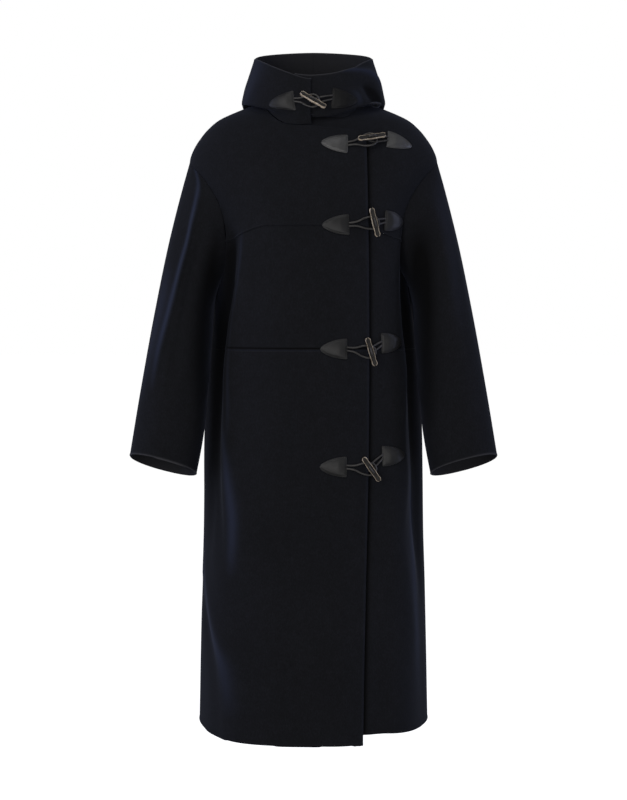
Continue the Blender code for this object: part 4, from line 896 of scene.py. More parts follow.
def sleeve(side, word, creases, nap_and_painted_light):
    """The sleeve's closed tube: rings of even points, and rows close together at the armhole and the cuff."""
    def surface(along, angle):
        return sleeve_point(along, angle, creases)

    turns = np.linspace(0, 2 * math.pi, 4 * FINE)
    run = distances(sleeve_point(np.full_like(turns, SLEEVE_LEVEL), turns))
    columns = 2 * round(run[-1] / MESH_STEP / 2)
    angles = np.interp(np.linspace(0, run[-1], columns, endpoint=False), run, turns)
    along = spaced(SLEEVE_LENGTH, count_for(SLEEVE_LENGTH))[:, None]
    angle = angles[None]
    drop, groove = rim_profile(along.size, "sf")
    points = surface(along, angle)
    outwards = -facing(surface, along, angle)
    middle = points.mean(axis=1, keepdims=True)
    outwards = outwards * np.sign(np.sum(outwards * (points - middle), axis=-1).mean())
    lift = np.clip(1 - along / SLEEVE_LIFT_TO, 0, 1)[..., None] * np.array(ARMHOLE_OUT) * SEAM_OVERLAP
    mirror = np.array((side, 1, 1))
    outer = (points + lift - outwards * (drop + groove)[:, None, None]) * mirror
    inner = (points + lift - outwards * (CLOTH - drop)[:, None, None]) * mirror
    # Painted highlights and shade from the table, a painted highlight on the cuff's rim and painted light
    # inside.
    painted_light = creased(nap_and_painted_light, along, np.degrees(angle) % 360) * 1000
    rim = CUFF_PAINTED_HIGHLIGHT * bell(1 - along, CUFF_HIGHLIGHT_SHARE)
    return shell(f"{word}_sleeve_cloth", outer, inner, WOOL, painted_light, tube=True, pale=(rim, CUFF_INNER_PAINTED_LIGHT))


for sleeve_side, sleeve_word, sleeve_creases, sleeve_nap in (
    (-1, "right", RIGHT_SLEEVE_CREASES, RIGHT_SLEEVE_PAINTED_LIGHT),
    (1, "left", LEFT_SLEEVE_CREASES, LEFT_SLEEVE_PAINTED_LIGHT),
):
    piece = sleeve(sleeve_side, sleeve_word, sleeve_creases, sleeve_nap)
    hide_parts(f"sleeve_{sleeve_word}")
    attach(piece, "root")

# ---------------------------------------------------------------------------------------------------------
# The hood: two halves of the wool joined at the centre back, lying down on the shoulders. It rolls out over
# the neck seam and stands up again as an open funnel; the right half laps over the left at the throat.

# Rings: share of the hood, half width, y in front and behind, z in front, at the sides and behind.
HOOD_RINGS = (
    (0, 0.09, -0.097, 0.056, -0.0455, 0.0095, 0.004),
    (0.12, 0.104, -0.0985, 0.103, -0.04, 0.012, -0.012),
    (0.27, 0.125, -0.0995, 0.131, -0.032, 0.007, -0.085),
    (0.42, 0.1376, -0.1, 0.162, -0.02, 0.004, -0.142),
    (0.55, 0.134, -0.0995, 0.189, -0.004, 0.026, -0.085),
    (0.78, 0.1215, -0.097, 0.168, 0.02, 0.065, 0.03),
    (1, 0.1135, -0.092, 0.14, 0.044, 0.089, 0.1225),
)
HOOD_MID_Y = 0.020
HOOD_SQUARE = 2.3
HOOD_HEIGHT_POWER = 2.0
HOOD_LIFT = 0.0010
HOOD_BLEND = 0.30
HOOD_RIGHT_EDGE_X = -0.005
HOOD_LEFT_EDGE_X = -0.040
HOOD_EDGE_AT = 0.7
HOOD_LEVEL = 0.6
HOOD_BACK_REACH = 0.15
HOOD_FOOT = 0.002
HOOD_RISE_TURN = (45.0, 80.0)
HOOD_HEIGHT = 0.30
HOOD_GROOVE = 0.0020
HOOD_GROOVE_FROM = -2.0
HOOD_GROOVE_HALF = 4.0
HOOD_RIM_POWERS = (2.4, 0.9)  # before and behind the widest place
HOOD_RIM_FROM = (0.60, 1.00)
RIM_SAG_POWER = 6
HOOD_INNER_PAINTED_LIGHT, HOOD_RIM_PAINTED_HIGHLIGHT, HOOD_RIM_SHARE = 0.42, 1.0, 0.014  # painted light inside the hood, and a painted highlight along its rim
# Painted light on the hood: painted shade in its folds (below 0) and painted highlights on its ridges (above
# 0): share of the hood, turn, spread before and after, strength.
HOOD_PAINTED_LIGHT = (
    ((0.28, 56, 6, 8, 0), (0.36, 60, 7, 8, -1.6), (0.48, 58, 7, 9, -2.2), (0.6, 53, 5, 8, -1.4),
     (0.7, 47, 4, 6, 0)),
    ((0.42, 36, 4, 3, 0), (0.52, 38, 4, 2.5, 0.5), (0.62, 37, 4, 2.5, 0.4), (0.7, 35, 4, 2.5, 0)),
    ((0.3, -70, 14, 14, 0), (0.48, -66, 14, 14, 0.5), (0.7, -64, 14, 14, 0.6), (1, -62, 14, 14, 0.5)),
    ((0.5, 84, 10, 14, 0), (0.7, 84, 10, 14, 0.5), (1, 84, 10, 14, 0.5)),
)
# A painted highlight along the ridge that runs round the left half: turn, share of the hood, spread below and
# above.
HOOD_ROLL_PAINTED_HIGHLIGHT = (
    ((22, 1.03, 0.04, 0.04, 0), (30, 1, 0.04, 0.04, 0.7), (52, 0.87, 0.05, 0.04, 1),
     (72, 0.7, 0.05, 0.05, 0.8), (84, 0.62, 0.05, 0.05, 0)),
)
# Rows along a crease: share of the hood, turn in degrees, spread before and after, height in millimetres.
HOOD_CREASES = (
    ((0.36, 64, 6, 8, 0), (0.43, 60, 6, 8, -7), (0.54, 54, 6, 8, -9), (0.64, 51, 6, 8, -8),
     (0.72, 47, 6, 8, -3), (0.78, 44, 6, 8, 0)),
    ((0.38, 42, 7, 4, 0), (0.48, 41, 8, 4, 3), (0.6, 39, 8, 4, 3), (0.72, 36, 8, 6, 0)),
    ((0.4, -60, 8, 8, 0), (0.52, -56, 8, 8, 2.5), (0.72, -52, 8, 8, 2), (0.9, -50, 8, 8, 0)),
    ((0.45, 118, 9, 9, 0), (0.6, 122, 9, 9, -3.5), (0.85, 126, 9, 9, -2), (1, 128, 9, 9, 0)),
    ((0.45, -124, 9, 9, 0), (0.62, -120, 9, 9, -3), (0.82, -116, 9, 9, -2.4), (1, -112, 9, 9, 0)),
)
# Rows along a ridge that runs round the hood: turn in degrees, share of the hood, spread below and above it
# as shares, height in millimetres.
HOOD_ROLLS = (
    ((24, 1.02, 0.06, 0.06, 0), (34, 0.99, 0.06, 0.06, 2), (52, 0.88, 0.06, 0.05, 3.4),
     (72, 0.72, 0.07, 0.05, 3.2), (86, 0.62, 0.07, 0.06, 0)),
)


def ridges(tables, turn, along):
    """Like creases, for ridges that run round the hood: height over their own line of along over turn."""
    total = np.zeros(np.broadcast(turn, along).shape)
    for table in tables:
        line_at, below, above, height = np.moveaxis(smooth(table, turn), -1, 0)
        off = along - line_at
        inside = (turn > table[0][0]) & (turn < table[-1][0])
        total = total + np.where(inside, height, 0) * 0.001 * bell(off, np.where(off < 0, below, above))
    return total


def hood_painted_light(turn, along):
    """Painted light and shade over the hood, as over the body."""
    signed = signed_degrees(turn)
    return (creased(HOOD_PAINTED_LIGHT, along, signed) + ridges(HOOD_ROLL_PAINTED_HIGHLIGHT, signed, along)) * 1000


def hood_point(turn, along, neck_front=NECK_FRONT_RIGHT, rim_sag=((-4.0, 14.0, -0.0045),)):
    """A point of the hood: rings from the neck seam, out to the roll and up to the rim, moved out by the
    creases. Turn 0 is the centre front."""
    turn, along = np.broadcast_arrays(np.asarray(turn, float), np.asarray(along, float))
    along = np.clip(along, 0.0, 1.0)
    radius = squircle(turn, HOOD_SQUARE)
    ahead = np.cos(turn) > 0
    to_rim = rise(along, HOOD_RIM_FROM)
    power = HOOD_HEIGHT_POWER + (np.where(ahead, *HOOD_RIM_POWERS) - HOOD_HEIGHT_POWER) * to_rim
    raise_by = np.abs(np.cos(turn)) ** power
    signed = signed_degrees(turn)
    fold = creased(HOOD_CREASES, along, signed) + ridges(HOOD_ROLLS, signed, along)
    sag = sum(depth * bell(signed - at, spread) for at, spread, depth in rim_sag) * along**RIM_SAG_POWER

    def ring(at):
        half_width, front, back, z_front, z_side, z_back = np.moveaxis(smooth(HOOD_RINGS, at), -1, 0)
        reach = np.where(ahead, HOOD_MID_Y - front, back - HOOD_MID_Y)
        x = (half_width * radius + fold) * np.sin(turn)
        y = HOOD_MID_Y - (reach * radius + fold) * np.cos(turn)
        z = z_side + (np.where(ahead, z_front, z_back) - z_side) * raise_by + sag
        return np.stack([x, y, z], -1)

    seat = body_point(*np.moveaxis(neck_plan(turn, neck_front), -1, 0))
    fade = np.clip(1 - along / HOOD_BLEND, 0, 1) ** 2
    seat = seat + np.array((0.0, 0.0, HOOD_LIFT))
    return ring(along) + (seat - ring(np.zeros_like(along))) * fade[..., None]


def left_hood_point(turn, along):
    """The same for the left half, whose neck seam and rim lie higher in front."""
    return hood_point(turn, along, NECK_FRONT_LEFT, ((0.0, 26.0, 0.0040),))


def hood_sunk(turn, _along):
    """How deep the left hood lies under the surface that the right hood laps on."""
    degrees = np.degrees(turn)
    groove = HOOD_GROOVE * bell(np.clip(degrees - HOOD_GROOVE_FROM, 0, None), HOOD_GROOVE_HALF)
    return groove + UNDER * (1 - rise(degrees, HOOD_RISE_TURN))


def hood_turn_at_x(x):
    """The hood's turn at which its front wall has this x, halfway up."""
    half_width = smooth(HOOD_RINGS, np.array(HOOD_EDGE_AT))[0]
    share = abs(x) / half_width
    return math.copysign(math.atan2(share, (1 - share**HOOD_SQUARE) ** (1 / HOOD_SQUARE)), x)


def hood_half(name, surface, sunk, edge_x, side):
    """One half, from its front edge at the throat to the centre back seam."""
    ends = hood_turn_at_x(edge_x), side * (math.pi + SEAM_OVERLAP / 2 / HOOD_BACK_REACH)
    ring = np.linspace(*ends, 2 * FINE)
    run = distances(surface(ring, np.full_like(ring, HOOD_LEVEL)))
    turn = np.interp(spaced(run[-1], count_for(run[-1])) * run[-1], run, ring)
    share = spaced(HOOD_HEIGHT, count_for(HOOD_HEIGHT))
    along = HOOD_FOOT + (1 - HOOD_FOOT) * share
    a, b = np.broadcast_arrays(turn[None], along[:, None])
    # The rim gets a painted highlight and the inside painted light.
    grid, pale = np.stack([a, b], -1), (HOOD_RIM_PAINTED_HIGHLIGHT * bell(1 - b, HOOD_RIM_SHARE), HOOD_INNER_PAINTED_LIGHT)
    return cloth_panel(name, surface, sunk, grid, "sffs", hood_painted_light, pale=pale)


for title, node, surface, sunk, edge_x, side in (
    ("hood_right_cloth", "hood_right", hood_point, none_sunk, HOOD_RIGHT_EDGE_X, -1),
    ("hood_left_cloth", "hood_left", left_hood_point, hood_sunk, HOOD_LEFT_EDGE_X, 1),
):
    piece = hood_half(title, surface, sunk, edge_x, side)
    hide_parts(node)
    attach(piece, "root")

# ---------------------------------------------------------------------------------------------------------
# The topstitching: one row of short stitches under the waist seam of each front, through the allowance that
# is folded under it. The thread is spun polyester in the wool's own tone.

STITCH_PITCH = 0.0040
STITCH_LENGTH = 0.0028
STITCH_RADIUS = 0.00042
STITCH_SINK = 0.00012
STITCH_SIDES = 5
STITCH_RINGS = ((-0.36, 0.72), (0.0, 1.0), (0.36, 0.72))  # share of the length, share of the radius


def spun_thread(name, colour):
    """Spun polyester thread, dyed to match what it sews. It is smoother, so it catches a fine light."""
    material, tree, shader = start(name)
    where = add(tree, "ShaderNodeTexCoord").outputs["Object"]
    twist = noise(tree, where, 1400.0, 1.0)
    tree.links.new(ramp(tree, twist, ((0.35, colour[0]), (0.65, colour[1]))), shader.inputs["Base Color"])
    shader.inputs["Roughness"].default_value = 0.62
    shader.inputs["Specular IOR Level"].default_value = 0.3
    return material


def stitches(name, lines, material, pitch=STITCH_PITCH, long=STITCH_LENGTH, radius=STITCH_RADIUS):
    """One mesh of stitches on many lines. Each is a spindle: three five-sided rings between two tips, laid
    along its line at an even pitch, half sunk in the cloth."""
    middles, ways, ups = [], [], []
    for points, normals in lines:
        run = distances(points)
        at = np.arange(pitch, run[-1] - pitch, pitch)
        if len(at) == 0:
            continue
        pick = lambda values, where: np.stack([np.interp(where, run, values[:, k]) for k in range(3)], -1)
        middles.append(pick(points, at))
        ways.append(pick(points, at + 0.4 * pitch) - pick(points, at - 0.4 * pitch))
        ups.append(pick(normals, at))
    middle, way, up = (np.concatenate(part) for part in (middles, ways, ups))
    way = unit(way)
    up = unit(up - way * np.sum(up * way, axis=1, keepdims=True))
    side = np.cross(up, way)
    ring = np.arange(STITCH_SIDES)
    spots = [(-0.5, 0.0, 0.0)]
    for share, width in STITCH_RINGS:
        turns = ring * 2 * math.pi / STITCH_SIDES
        spots += [(share, width * math.cos(t), width * math.sin(t)) for t in turns]
    spots = np.array([*spots, (0.5, 0.0, 0.0)])
    points = (middle[:, None] + way[:, None] * spots[:, :1] * long
              + side[:, None] * spots[:, 1:2] * radius + up[:, None] * (spots[:, 2:] * radius - STITCH_SINK))
    beside, last = (ring + 1) % STITCH_SIDES, len(spots) - 1
    parts = [
        np.stack([0 * ring, 1 + beside, 1 + ring], -1),
        np.stack([0 * ring + last, last - STITCH_SIDES + ring, last - STITCH_SIDES + beside], -1),
        *(np.stack([k + ring, k + beside, k + STITCH_SIDES + beside, k + STITCH_SIDES + ring], -1)
          for k in (1, 1 + STITCH_SIDES)),
    ]
    shift = (np.arange(len(middle)) * len(spots))[:, None, None]
    faces = sum([(part[None] + shift).reshape(-1, part.shape[1]).tolist() for part in parts], [])
    return outward(mesh_object(name, points, faces, material))


navy_thread = spun_thread("spun_polyester_thread_navy", ("#0d0e12", "#181920"))
piece = stitches("topstitching", seam_lines, navy_thread)
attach(piece, "root")

# ---------------------------------------------------------------------------------------------------------
# The shields: ten pieces of grained calf leather, cut like a pointed arch, their edges skived and pressed
# flat and their middles crowned, stitched round and holding the ends of the cords.

# Each closure: x and z of the loop shield's base and the way it points, x and z of the toggle's middle and
# its lean, x and z of the toggle shield's base and the way it points. Angles are in degrees.
CLOSURES = (
    ("closure1", -0.035, -0.001, 188, -0.0006, -0.0035, -30, 0.0345, 0.0046, -5),
    ("closure2", 0.0636, -0.0838, 178, 0.1045, -0.0765, 18, 0.1372, -0.0712, -5),
    ("closure3", 0.0652, -0.2326, 181.5, 0.1062, -0.2288, -74.5, 0.1319, -0.2236, -3),
    ("closure4", 0.0618, -0.4594, 180.5, 0.1007, -0.4652, -72, 0.1258, -0.4495, 2),
    ("closure5", 0.0609, -0.6755, 180, 0.102, -0.68, -53, 0.1272, -0.6579, 2),
)
PATCH_LENGTH = 0.0500
PATCH_HALF_BASE = 0.0190
PATCH_TIP = 0.0016
PATCH_SEAT = 0.0007
PATCH_EDGE = 0.0013
PATCH_EDGE_ROUND = 0.0009
PATCH_BORDER = 0.0026
PATCH_STEP = 0.0008
PATCH_STEP_RUN = 0.0012
PATCH_CROWN = 0.0026
PATCH_CROWN_ENDS = (0.35, 0.50)  # shares of the length over which it rises from the base and to the tip
PATCH_ARCH = 0.75
PATCH_CORNER = 0.0026
PATCH_ROW = 0.0017  # how far in from the edge the stitches run
PATCH_ROW_WIDEST = 0.0021  # the least distance in that the middle has where the row still runs
PATCH_ROW_START = 0.0012
PATCH_PITCH, PATCH_STITCH, PATCH_THREAD = 0.0026, 0.0019, 0.00028
NEWTON_STEPS = 12


def grained_calf(name, deep, light, gloss):
    """Calf leather, aniline dyed and left a little dull. The pebbles are 0.9 mm across with finer pores
    between, and the gloss is broad and soft: least on the darker copy that is painted shade and most on the
    paler copy that is painted light."""
    material, tree, shader = start(name)
    where = add(tree, "ShaderNodeTexCoord").outputs["Object"]
    pebble = add(tree, "ShaderNodeTexVoronoi", {"Vector": where, "Scale": 1100.0}).outputs["Distance"]
    pore = noise(tree, where, 2600.0, 2.0)
    shade = noise(tree, where, 90.0, 3.0)
    colour = ramp(tree, shade, ((0.30, deep), (0.72, light)))
    tree.links.new(colour, shader.inputs["Base Color"])
    rough = add(tree, "ShaderNodeMapRange", {"Value": shade, "To Min": 0.40, "To Max": 0.56})
    tree.links.new(rough.outputs["Result"], shader.inputs["Roughness"])
    relief(tree, shader, (pebble, 0.35, 0.00025, True), (pore, 0.15, 0.0001, False))
    shader.inputs["IOR"].default_value = 1.5
    shader.inputs["Specular IOR Level"].default_value = gloss
    return material


PLAIN_CALF = grained_calf("grained_calf_leather", "#161617", "#1e1e1f", 0.31)
# Two copies of the same leather with painted light: a darker, duller one as painted shade and a paler,
# glossier one as painted light.
SHADED_CALF = grained_calf("shaded_calf_leather", "#0d0d0e", "#131314", 0.15)
LIT_CALF = grained_calf("lit_calf_leather", "#272728", "#373738", 0.62)
# The shields of each closure whose leather isn't plain: at the loop, at the toggle.
CALF_OF = {"closure1": (PLAIN_CALF, SHADED_CALF), "closure2": (LIT_CALF, LIT_CALF)}


def seat_on(surface, x, z, guess):
    """The surface place (a, b) whose point has this x and z, by Newton's steps from a guess."""
    place = np.array(guess, float)
    for _ in range(NEWTON_STEPS):
        here = surface(place[0], place[1])
        along_a = (surface(place[0] + TINY, place[1]) - here)[[0, 2]] / TINY
        along_b = (surface(place[0], place[1] + TINY) - here)[[0, 2]] / TINY
        error = np.array((x, z)) - here[[0, 2]]
        place += np.linalg.solve(np.stack([along_a, along_b], -1), error)
    return place


class Ground:
    """The cloth around one closure: places on it are given by x and z as seen from the front."""

    def __init__(self, surface, guess):
        self.surface, self.guess = surface, guess

    def place(self, x, z):
        return seat_on(self.surface, x, z, self.guess)

    def point(self, x, z, height):
        """The point at a height over the cloth that laps on top."""
        a, b = self.place(x, z)
        return self.surface(a, b) + facing(self.surface, a, b) * height

    def strip(self, x, z, heading, lengths, widths, across_shares):
        """Rows of places that march from a start along a heading, each row spread to its half width."""
        a, b = self.place(x, z)
        way = np.array((math.cos(math.radians(heading)), 0.0, math.sin(math.radians(heading))))
        rows, last = [], 0.0
        for length, width in zip(lengths, widths):
            here = self.surface(a, b)
            along = np.stack([self.surface(a + TINY, b) - here, self.surface(a, b + TINY) - here], -1) / TINY
            normal = facing(self.surface, a, b)
            way = unit(way - normal * (way @ normal))
            to_place = np.linalg.pinv(along)
            a, b = np.array((a, b)) + to_place @ way * (length - last)
            across = to_place @ np.cross(normal, way)
            rows.append(np.array((a, b)) + across_shares[:, None] * width * across)
            last = length
        return np.array(rows)


patch_lines = []  # (points, normals) of each row of the shields' stitches


def shield(name, node, ground, x, z, heading, sunk, leather):
    """One shield: over a flat plan with a straight base and sides like a pointed arch, its height is a
    rounded edge, a flat border, a small step up, and a crown that is full along the middle."""
    share = 1 - np.cos(np.linspace(0, 1, 37) ** 0.9 * QUARTER)
    near_base, near_tip = [0, 0.004, 0.012, 0.025, 0.045, 0.07], [0.985, 0.995]
    share = np.unique(np.concatenate([near_base, share[share > 0.09], near_tip]))
    share = share if len(share) % 2 else np.delete(share, 12)
    from_corner = np.clip(PATCH_CORNER - share * PATCH_LENGTH, 0, None)
    cut_corner = PATCH_CORNER - np.sqrt(PATCH_CORNER**2 - from_corner**2)
    half = PATCH_TIP + (PATCH_HALF_BASE - PATCH_TIP) * (1 - share**2) ** PATCH_ARCH - cut_corner
    tip = np.clip(share * PATCH_LENGTH - (PATCH_LENGTH - PATCH_TIP), 0, None)
    half = np.where(tip > 0, np.sqrt(np.clip(PATCH_TIP**2 - tip**2, (0.35 * PATCH_TIP) ** 2, None)), half)
    side = np.concatenate([[0, 0.015, 0.04, 0.08, 0.13], np.linspace(0.19, 1, 12)])
    side = np.concatenate([-1 + side, (1 - side)[::-1][1:]])
    grid = ground.strip(x, z, heading, share * PATCH_LENGTH, half, side)
    a, b = grid[..., 0], grid[..., 1]
    flat = np.stack([np.broadcast_to(share[:, None] * PATCH_LENGTH, a.shape), side[None] * half[:, None]], -1)
    rim = np.concatenate([flat[0], flat[1:, -1], flat[-1][::-1][1:], flat[::-1, 0][1:]])
    step = np.roll(rim, -1, axis=0) - rim
    offset = flat[:, :, None] - rim
    t = np.clip(np.sum(offset * step, -1) / np.maximum(np.sum(step**2, -1), 1e-12), 0, 1)
    edge = np.linalg.norm(offset - t[..., None] * step, axis=-1).min(axis=-1)
    inset = np.clip(PATCH_EDGE_ROUND - edge, 0, None)
    height = PATCH_EDGE - PATCH_EDGE_ROUND + np.sqrt(PATCH_EDGE_ROUND**2 - inset**2)
    height = height + PATCH_STEP * ease((edge - PATCH_BORDER) / PATCH_STEP_RUN)
    along_crown = ease(share / PATCH_CROWN_ENDS[0]) * ease((1 - share) / PATCH_CROWN_ENDS[1])
    height = height + PATCH_CROWN * along_crown[:, None] * (1 - side[None] ** 2)
    points, normal = ground.surface(a, b), facing(ground.surface, a, b)
    floor = PATCH_SEAT - sunk(a, b)
    outer = points + normal * (floor + height)[..., None]
    piece = shell(name, outer, points + normal * floor[..., None], leather)
    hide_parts(node)
    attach(piece, "root")

    # The row of stitches runs up one side, over the tip and down the other, and a second row runs over the
    # base. Columns are read at a column and a part of the way to the next.
    def between(values, low, part):
        rows = np.arange(len(low))
        return values[rows, low] * (1 - part[:, None]) + values[rows, low + 1] * part[:, None]

    middle = len(side) // 2
    at = np.array([np.interp(PATCH_ROW, row[: middle + 1], np.arange(middle + 1)) for row in edge])
    kept = (edge.max(axis=1) > PATCH_ROW_WIDEST) & (share * PATCH_LENGTH > PATCH_ROW_START)
    low, part = np.floor(at[kept]).astype(int), at[kept] - np.floor(at[kept])
    patch_lines.append([
        np.concatenate([between(values, low, part), between(values, len(side) - 2 - low, 1 - part)[::-1]])
        for values in (outer[kept], normal[kept])
    ])
    first = np.argmax(edge[:, middle] > PATCH_ROW)
    patch_lines.append([values[first][3:-3] for values in (outer, normal)])


# ---------------------------------------------------------------------------------------------------------
# The cords: round leather thongs. One makes the loop, from its shield round the toggle and back; the other
# comes out of the far shield, goes up through one hole of the toggle and back down the other.

CORD_RADIUS = 0.0018
CORD_HIGH = 0.0064
CORD_LOW = 0.0023
EYE_RADIUS = 0.0112
LOOP_SPREAD = 0.0030
LOOP_FLARE = 0.0012
BUTTON_SPREAD = 0.0036
NECK_SPREAD = 0.0042
# Half of the loop: share of the reach, past it and out from it in eye radii, share of the rise.
LOOP_STRAND = ((0.35, 0, 0, 0.2), (0.7, 0, 0.85, 0.5), (1, 0, 1, 1), (1, 0.71, 0.71, 1))
TOGGLE_CORD_RISES = (-0.0088, -0.0060, -0.0025, 0.0010, 0.0036)
TOGGLE_CORD_OVER = 0.0003
CORD_SIDES = 12
CORD_INSET = 0.0008  # how far inside its shield's edge a cord comes out
LOOP_RINGS, TOGGLE_CORD_RINGS = 90, 120
TOGGLE_CORD_RADIUS = CORD_RADIUS * 0.9
UNDER_PEG = -0.0050  # below this, the toggle's cord rises square to the cloth


def rounded(points, count):
    """A smooth curve through points, spaced evenly by the roots of their distances, read at count places."""
    points = np.array(points)
    run = np.concatenate([[0], np.cumsum(np.linalg.norm(np.diff(points, axis=0), axis=1) ** 0.5)])
    return smooth(np.column_stack([run, points]), np.linspace(0, run[-1], count))


def tube_faces(rows, sides):
    """The faces of a tube of rings, closed at both ends."""
    index = np.arange(rows * sides).reshape(rows, sides)
    beside = np.roll(index, -1, axis=1)
    faces = np.stack([index[:-1], beside[:-1], beside[1:], index[1:]], -1).reshape(-1, 4).tolist()
    return faces + [index[0][::-1].tolist(), index[-1].tolist()]


def thong(name, node, route, count, radius=CORD_RADIUS):
    """A cord: a ring carried along the route without twisting, its ends drawn in and closed."""
    path = rounded(route, count)
    way = unit(np.gradient(path, axis=0))
    side = np.zeros_like(path)
    side[0] = np.cross(way[0], (0.0, 1.0, 0.0))
    for k in range(1, len(path)):
        side[k] = side[k - 1] - way[k] * (side[k - 1] @ way[k])
        side[k] /= np.linalg.norm(side[k])
    side[0] /= np.linalg.norm(side[0])
    up = np.cross(way, side)
    swell = np.ones(len(path))
    swell[[0, -1]] = 0.75
    turn = np.linspace(0, 2 * math.pi, CORD_SIDES, endpoint=False)
    ring = side[:, None] * np.cos(turn)[:, None] + up[:, None] * np.sin(turn)[:, None]
    points = path[:, None] + ring * (radius * swell)[:, None, None]
    piece = outward(mesh_object(name, points, tube_faces(len(path), CORD_SIDES), THONG))
    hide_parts(node)
    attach(piece, "root")


THONG = grained_calf("round_leather_thong", "#242323", "#383635", 0.5)

# ---------------------------------------------------------------------------------------------------------
# The toggles: pegs of buffalo horn, turned, hollowed along the front by hand into a shallow boat with pale
# polished lips, drilled twice and buffed.

TOGGLE_LENGTH = 0.0530
TOGGLE_HEIGHT = 0.0146
TOGGLE_HOLE = 0.0019
TOGGLE_HOLE_AT = 0.0070
# Share of the way from the middle to an end, and the radius there.
TOGGLE_HALF_PROFILE = ((0, 0.0053), (0.6, 0.0045), (0.975, 0.0034), (1, 0.0027))
TOGGLE_PROFILE = [(-at, wide) for at, wide in TOGGLE_HALF_PROFILE[:0:-1]] + [*TOGGLE_HALF_PROFILE]
TOGGLE_ROWS = 61
TOGGLE_SIDES = 44
HOLLOW_WIDTH = 0.83
HOLLOW_DEPTH = 0.0040
HOLLOW_ENDS = 1.05
HOLLOW_POWER = 10
DRILL_SIDES = 24
DRILL_REACH = 0.02
TOGGLE_ROLL = {"closure1": 28.0, "closure2": -6.0, "closure3": -16.0, "closure4": -16.0, "closure5": -16.0}


def polished_horn():
    """Buffalo horn, cut along its fibres and buffed. It shows brown and bone streaks 0.5 mm wide that run
    the length of the peg, pale on the lips and painted near black in the hollow as painted shade, under a
    clear gloss."""
    material, tree, shader = start("polished_buffalo_horn")
    along = add(tree, "ShaderNodeUVMap", uv_map="around").outputs["UV"]
    carved = add(tree, "ShaderNodeUVMap", uv_map="hollow").outputs["UV"]
    hollow = add(tree, "ShaderNodeSeparateXYZ", {"Vector": carved}).outputs["X"]
    long = add(tree, "ShaderNodeMapping", {"Vector": along, "Scale": (40.0, 1500.0, 1.0)}).outputs["Vector"]
    fibre = noise(tree, long, 1.0, 3.0, 0.6)
    where = add(tree, "ShaderNodeTexCoord").outputs["Object"]
    cloud = noise(tree, where, 110.0, 2.0)
    streak = times(tree, fibre, 0.55, times(tree, cloud, 0.45))
    pale = ramp(tree, streak, ((0.32, "#54463a"), (0.46, "#a59683"), (0.60, "#d6c9b5")))
    # Painted shade: the hollow is painted near black.
    painted_hollow_shade = ramp(tree, streak, ((0.35, "#050302"), (0.55, "#0d0906"), (0.70, "#1c140f")))
    tree.links.new(mix(tree, hollow, pale, painted_hollow_shade), shader.inputs["Base Color"])
    rough = add(tree, "ShaderNodeMapRange", {"Value": streak, "To Min": 0.22, "To Max": 0.42})
    tree.links.new(times(tree, hollow, 0.45, rough.outputs["Result"]), shader.inputs["Roughness"])
    relief(tree, shader, (fibre, 0.25, 0.00015, False))
    shader.inputs["IOR"].default_value = 1.56
    return material


HORN = polished_horn()


def toggle(name, node, middle, axis, normal, roll):
    """A peg: rings along its axis, each a circle of the profile's radius whose front is lowered by the
    hollow, which is deepest on the middle line and runs out before the ends. Two holes go through it."""
    across = np.cross(normal, axis)
    face = normal * math.cos(math.radians(roll)) + across * math.sin(math.radians(roll))
    beside = np.cross(face, axis)
    share = np.sin(np.linspace(-1, 1, TOGGLE_ROWS) * QUARTER)
    share = np.sign(share) * np.abs(share) ** 1.15
    angle = np.linspace(0, 2 * math.pi, TOGGLE_SIDES, endpoint=False)
    radius = smooth(TOGGLE_PROFILE, share)[:, :1]
    wide, high = radius * np.sin(angle), radius * np.cos(angle)
    reach = np.clip(1 - (np.abs(share) / HOLLOW_ENDS) ** HOLLOW_POWER, 0, None)[:, None]
    half = np.maximum(HOLLOW_WIDTH * radius * reach**0.5, 1e-6)
    carve = np.clip(1 - (wide / half) ** 2, 0, None) ** 0.6 * reach * (high > 0)
    high = high - HOLLOW_DEPTH * carve
    points = middle + (share * TOGGLE_LENGTH / 2)[:, None, None] * axis
    points = points + wide[..., None] * beside + high[..., None] * face
    piece = outward(mesh_object(name, points, tube_faces(TOGGLE_ROWS, TOGGLE_SIDES), HORN))
    corner = np.empty(len(piece.data.loops), np.int32)
    piece.data.loops.foreach_get("vertex_index", corner)
    lengthwise = np.broadcast_to(share[:, None] * TOGGLE_LENGTH / 2, wide.shape)
    # The hollow map also marks where the horn is painted near black as painted shade.
    for title, first, second in (
        ("around", lengthwise, np.abs(angle - math.pi)[None] * radius),
        ("hollow", np.clip(carve * 2.2, 0, 1), np.zeros_like(wide)),
    ):
        layer = piece.data.uv_layers.new(name=title)
        values = np.stack([first.ravel(), second.ravel()], -1)[corner]
        layer.data.foreach_set("uv", values.astype(np.float32).ravel())
    circle = np.linspace(0, 2 * math.pi, DRILL_SIDES, endpoint=False)
    circle = np.cos(circle)[:, None] * axis + np.sin(circle)[:, None] * beside
    for at in (-TOGGLE_HOLE_AT, TOGGLE_HOLE_AT):
        ring = middle + at * axis + circle * TOGGLE_HOLE
        rings = np.stack([ring - face * DRILL_REACH, ring + face * DRILL_REACH])
        drill = outward(mesh_object("drill", rings, tube_faces(2, DRILL_SIDES), HORN))
        cut = piece.modifiers.new("hole", "BOOLEAN")
        cut.object, cut.operation, cut.solver = drill, "DIFFERENCE", "EXACT"
        done = bpy.data.meshes.new_from_object(piece.evaluated_get(bpy.context.evaluated_depsgraph_get()))
        piece.modifiers.clear()
        piece.data = done
        bpy.data.objects.remove(drill)
    piece.data.shade_smooth()
    piece.data.set_sharp_from_angle(angle=math.radians(38))
    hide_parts(node)
    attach(piece, "root")
    return face


def across_of(way):
    return np.array((-way[1], way[0]))


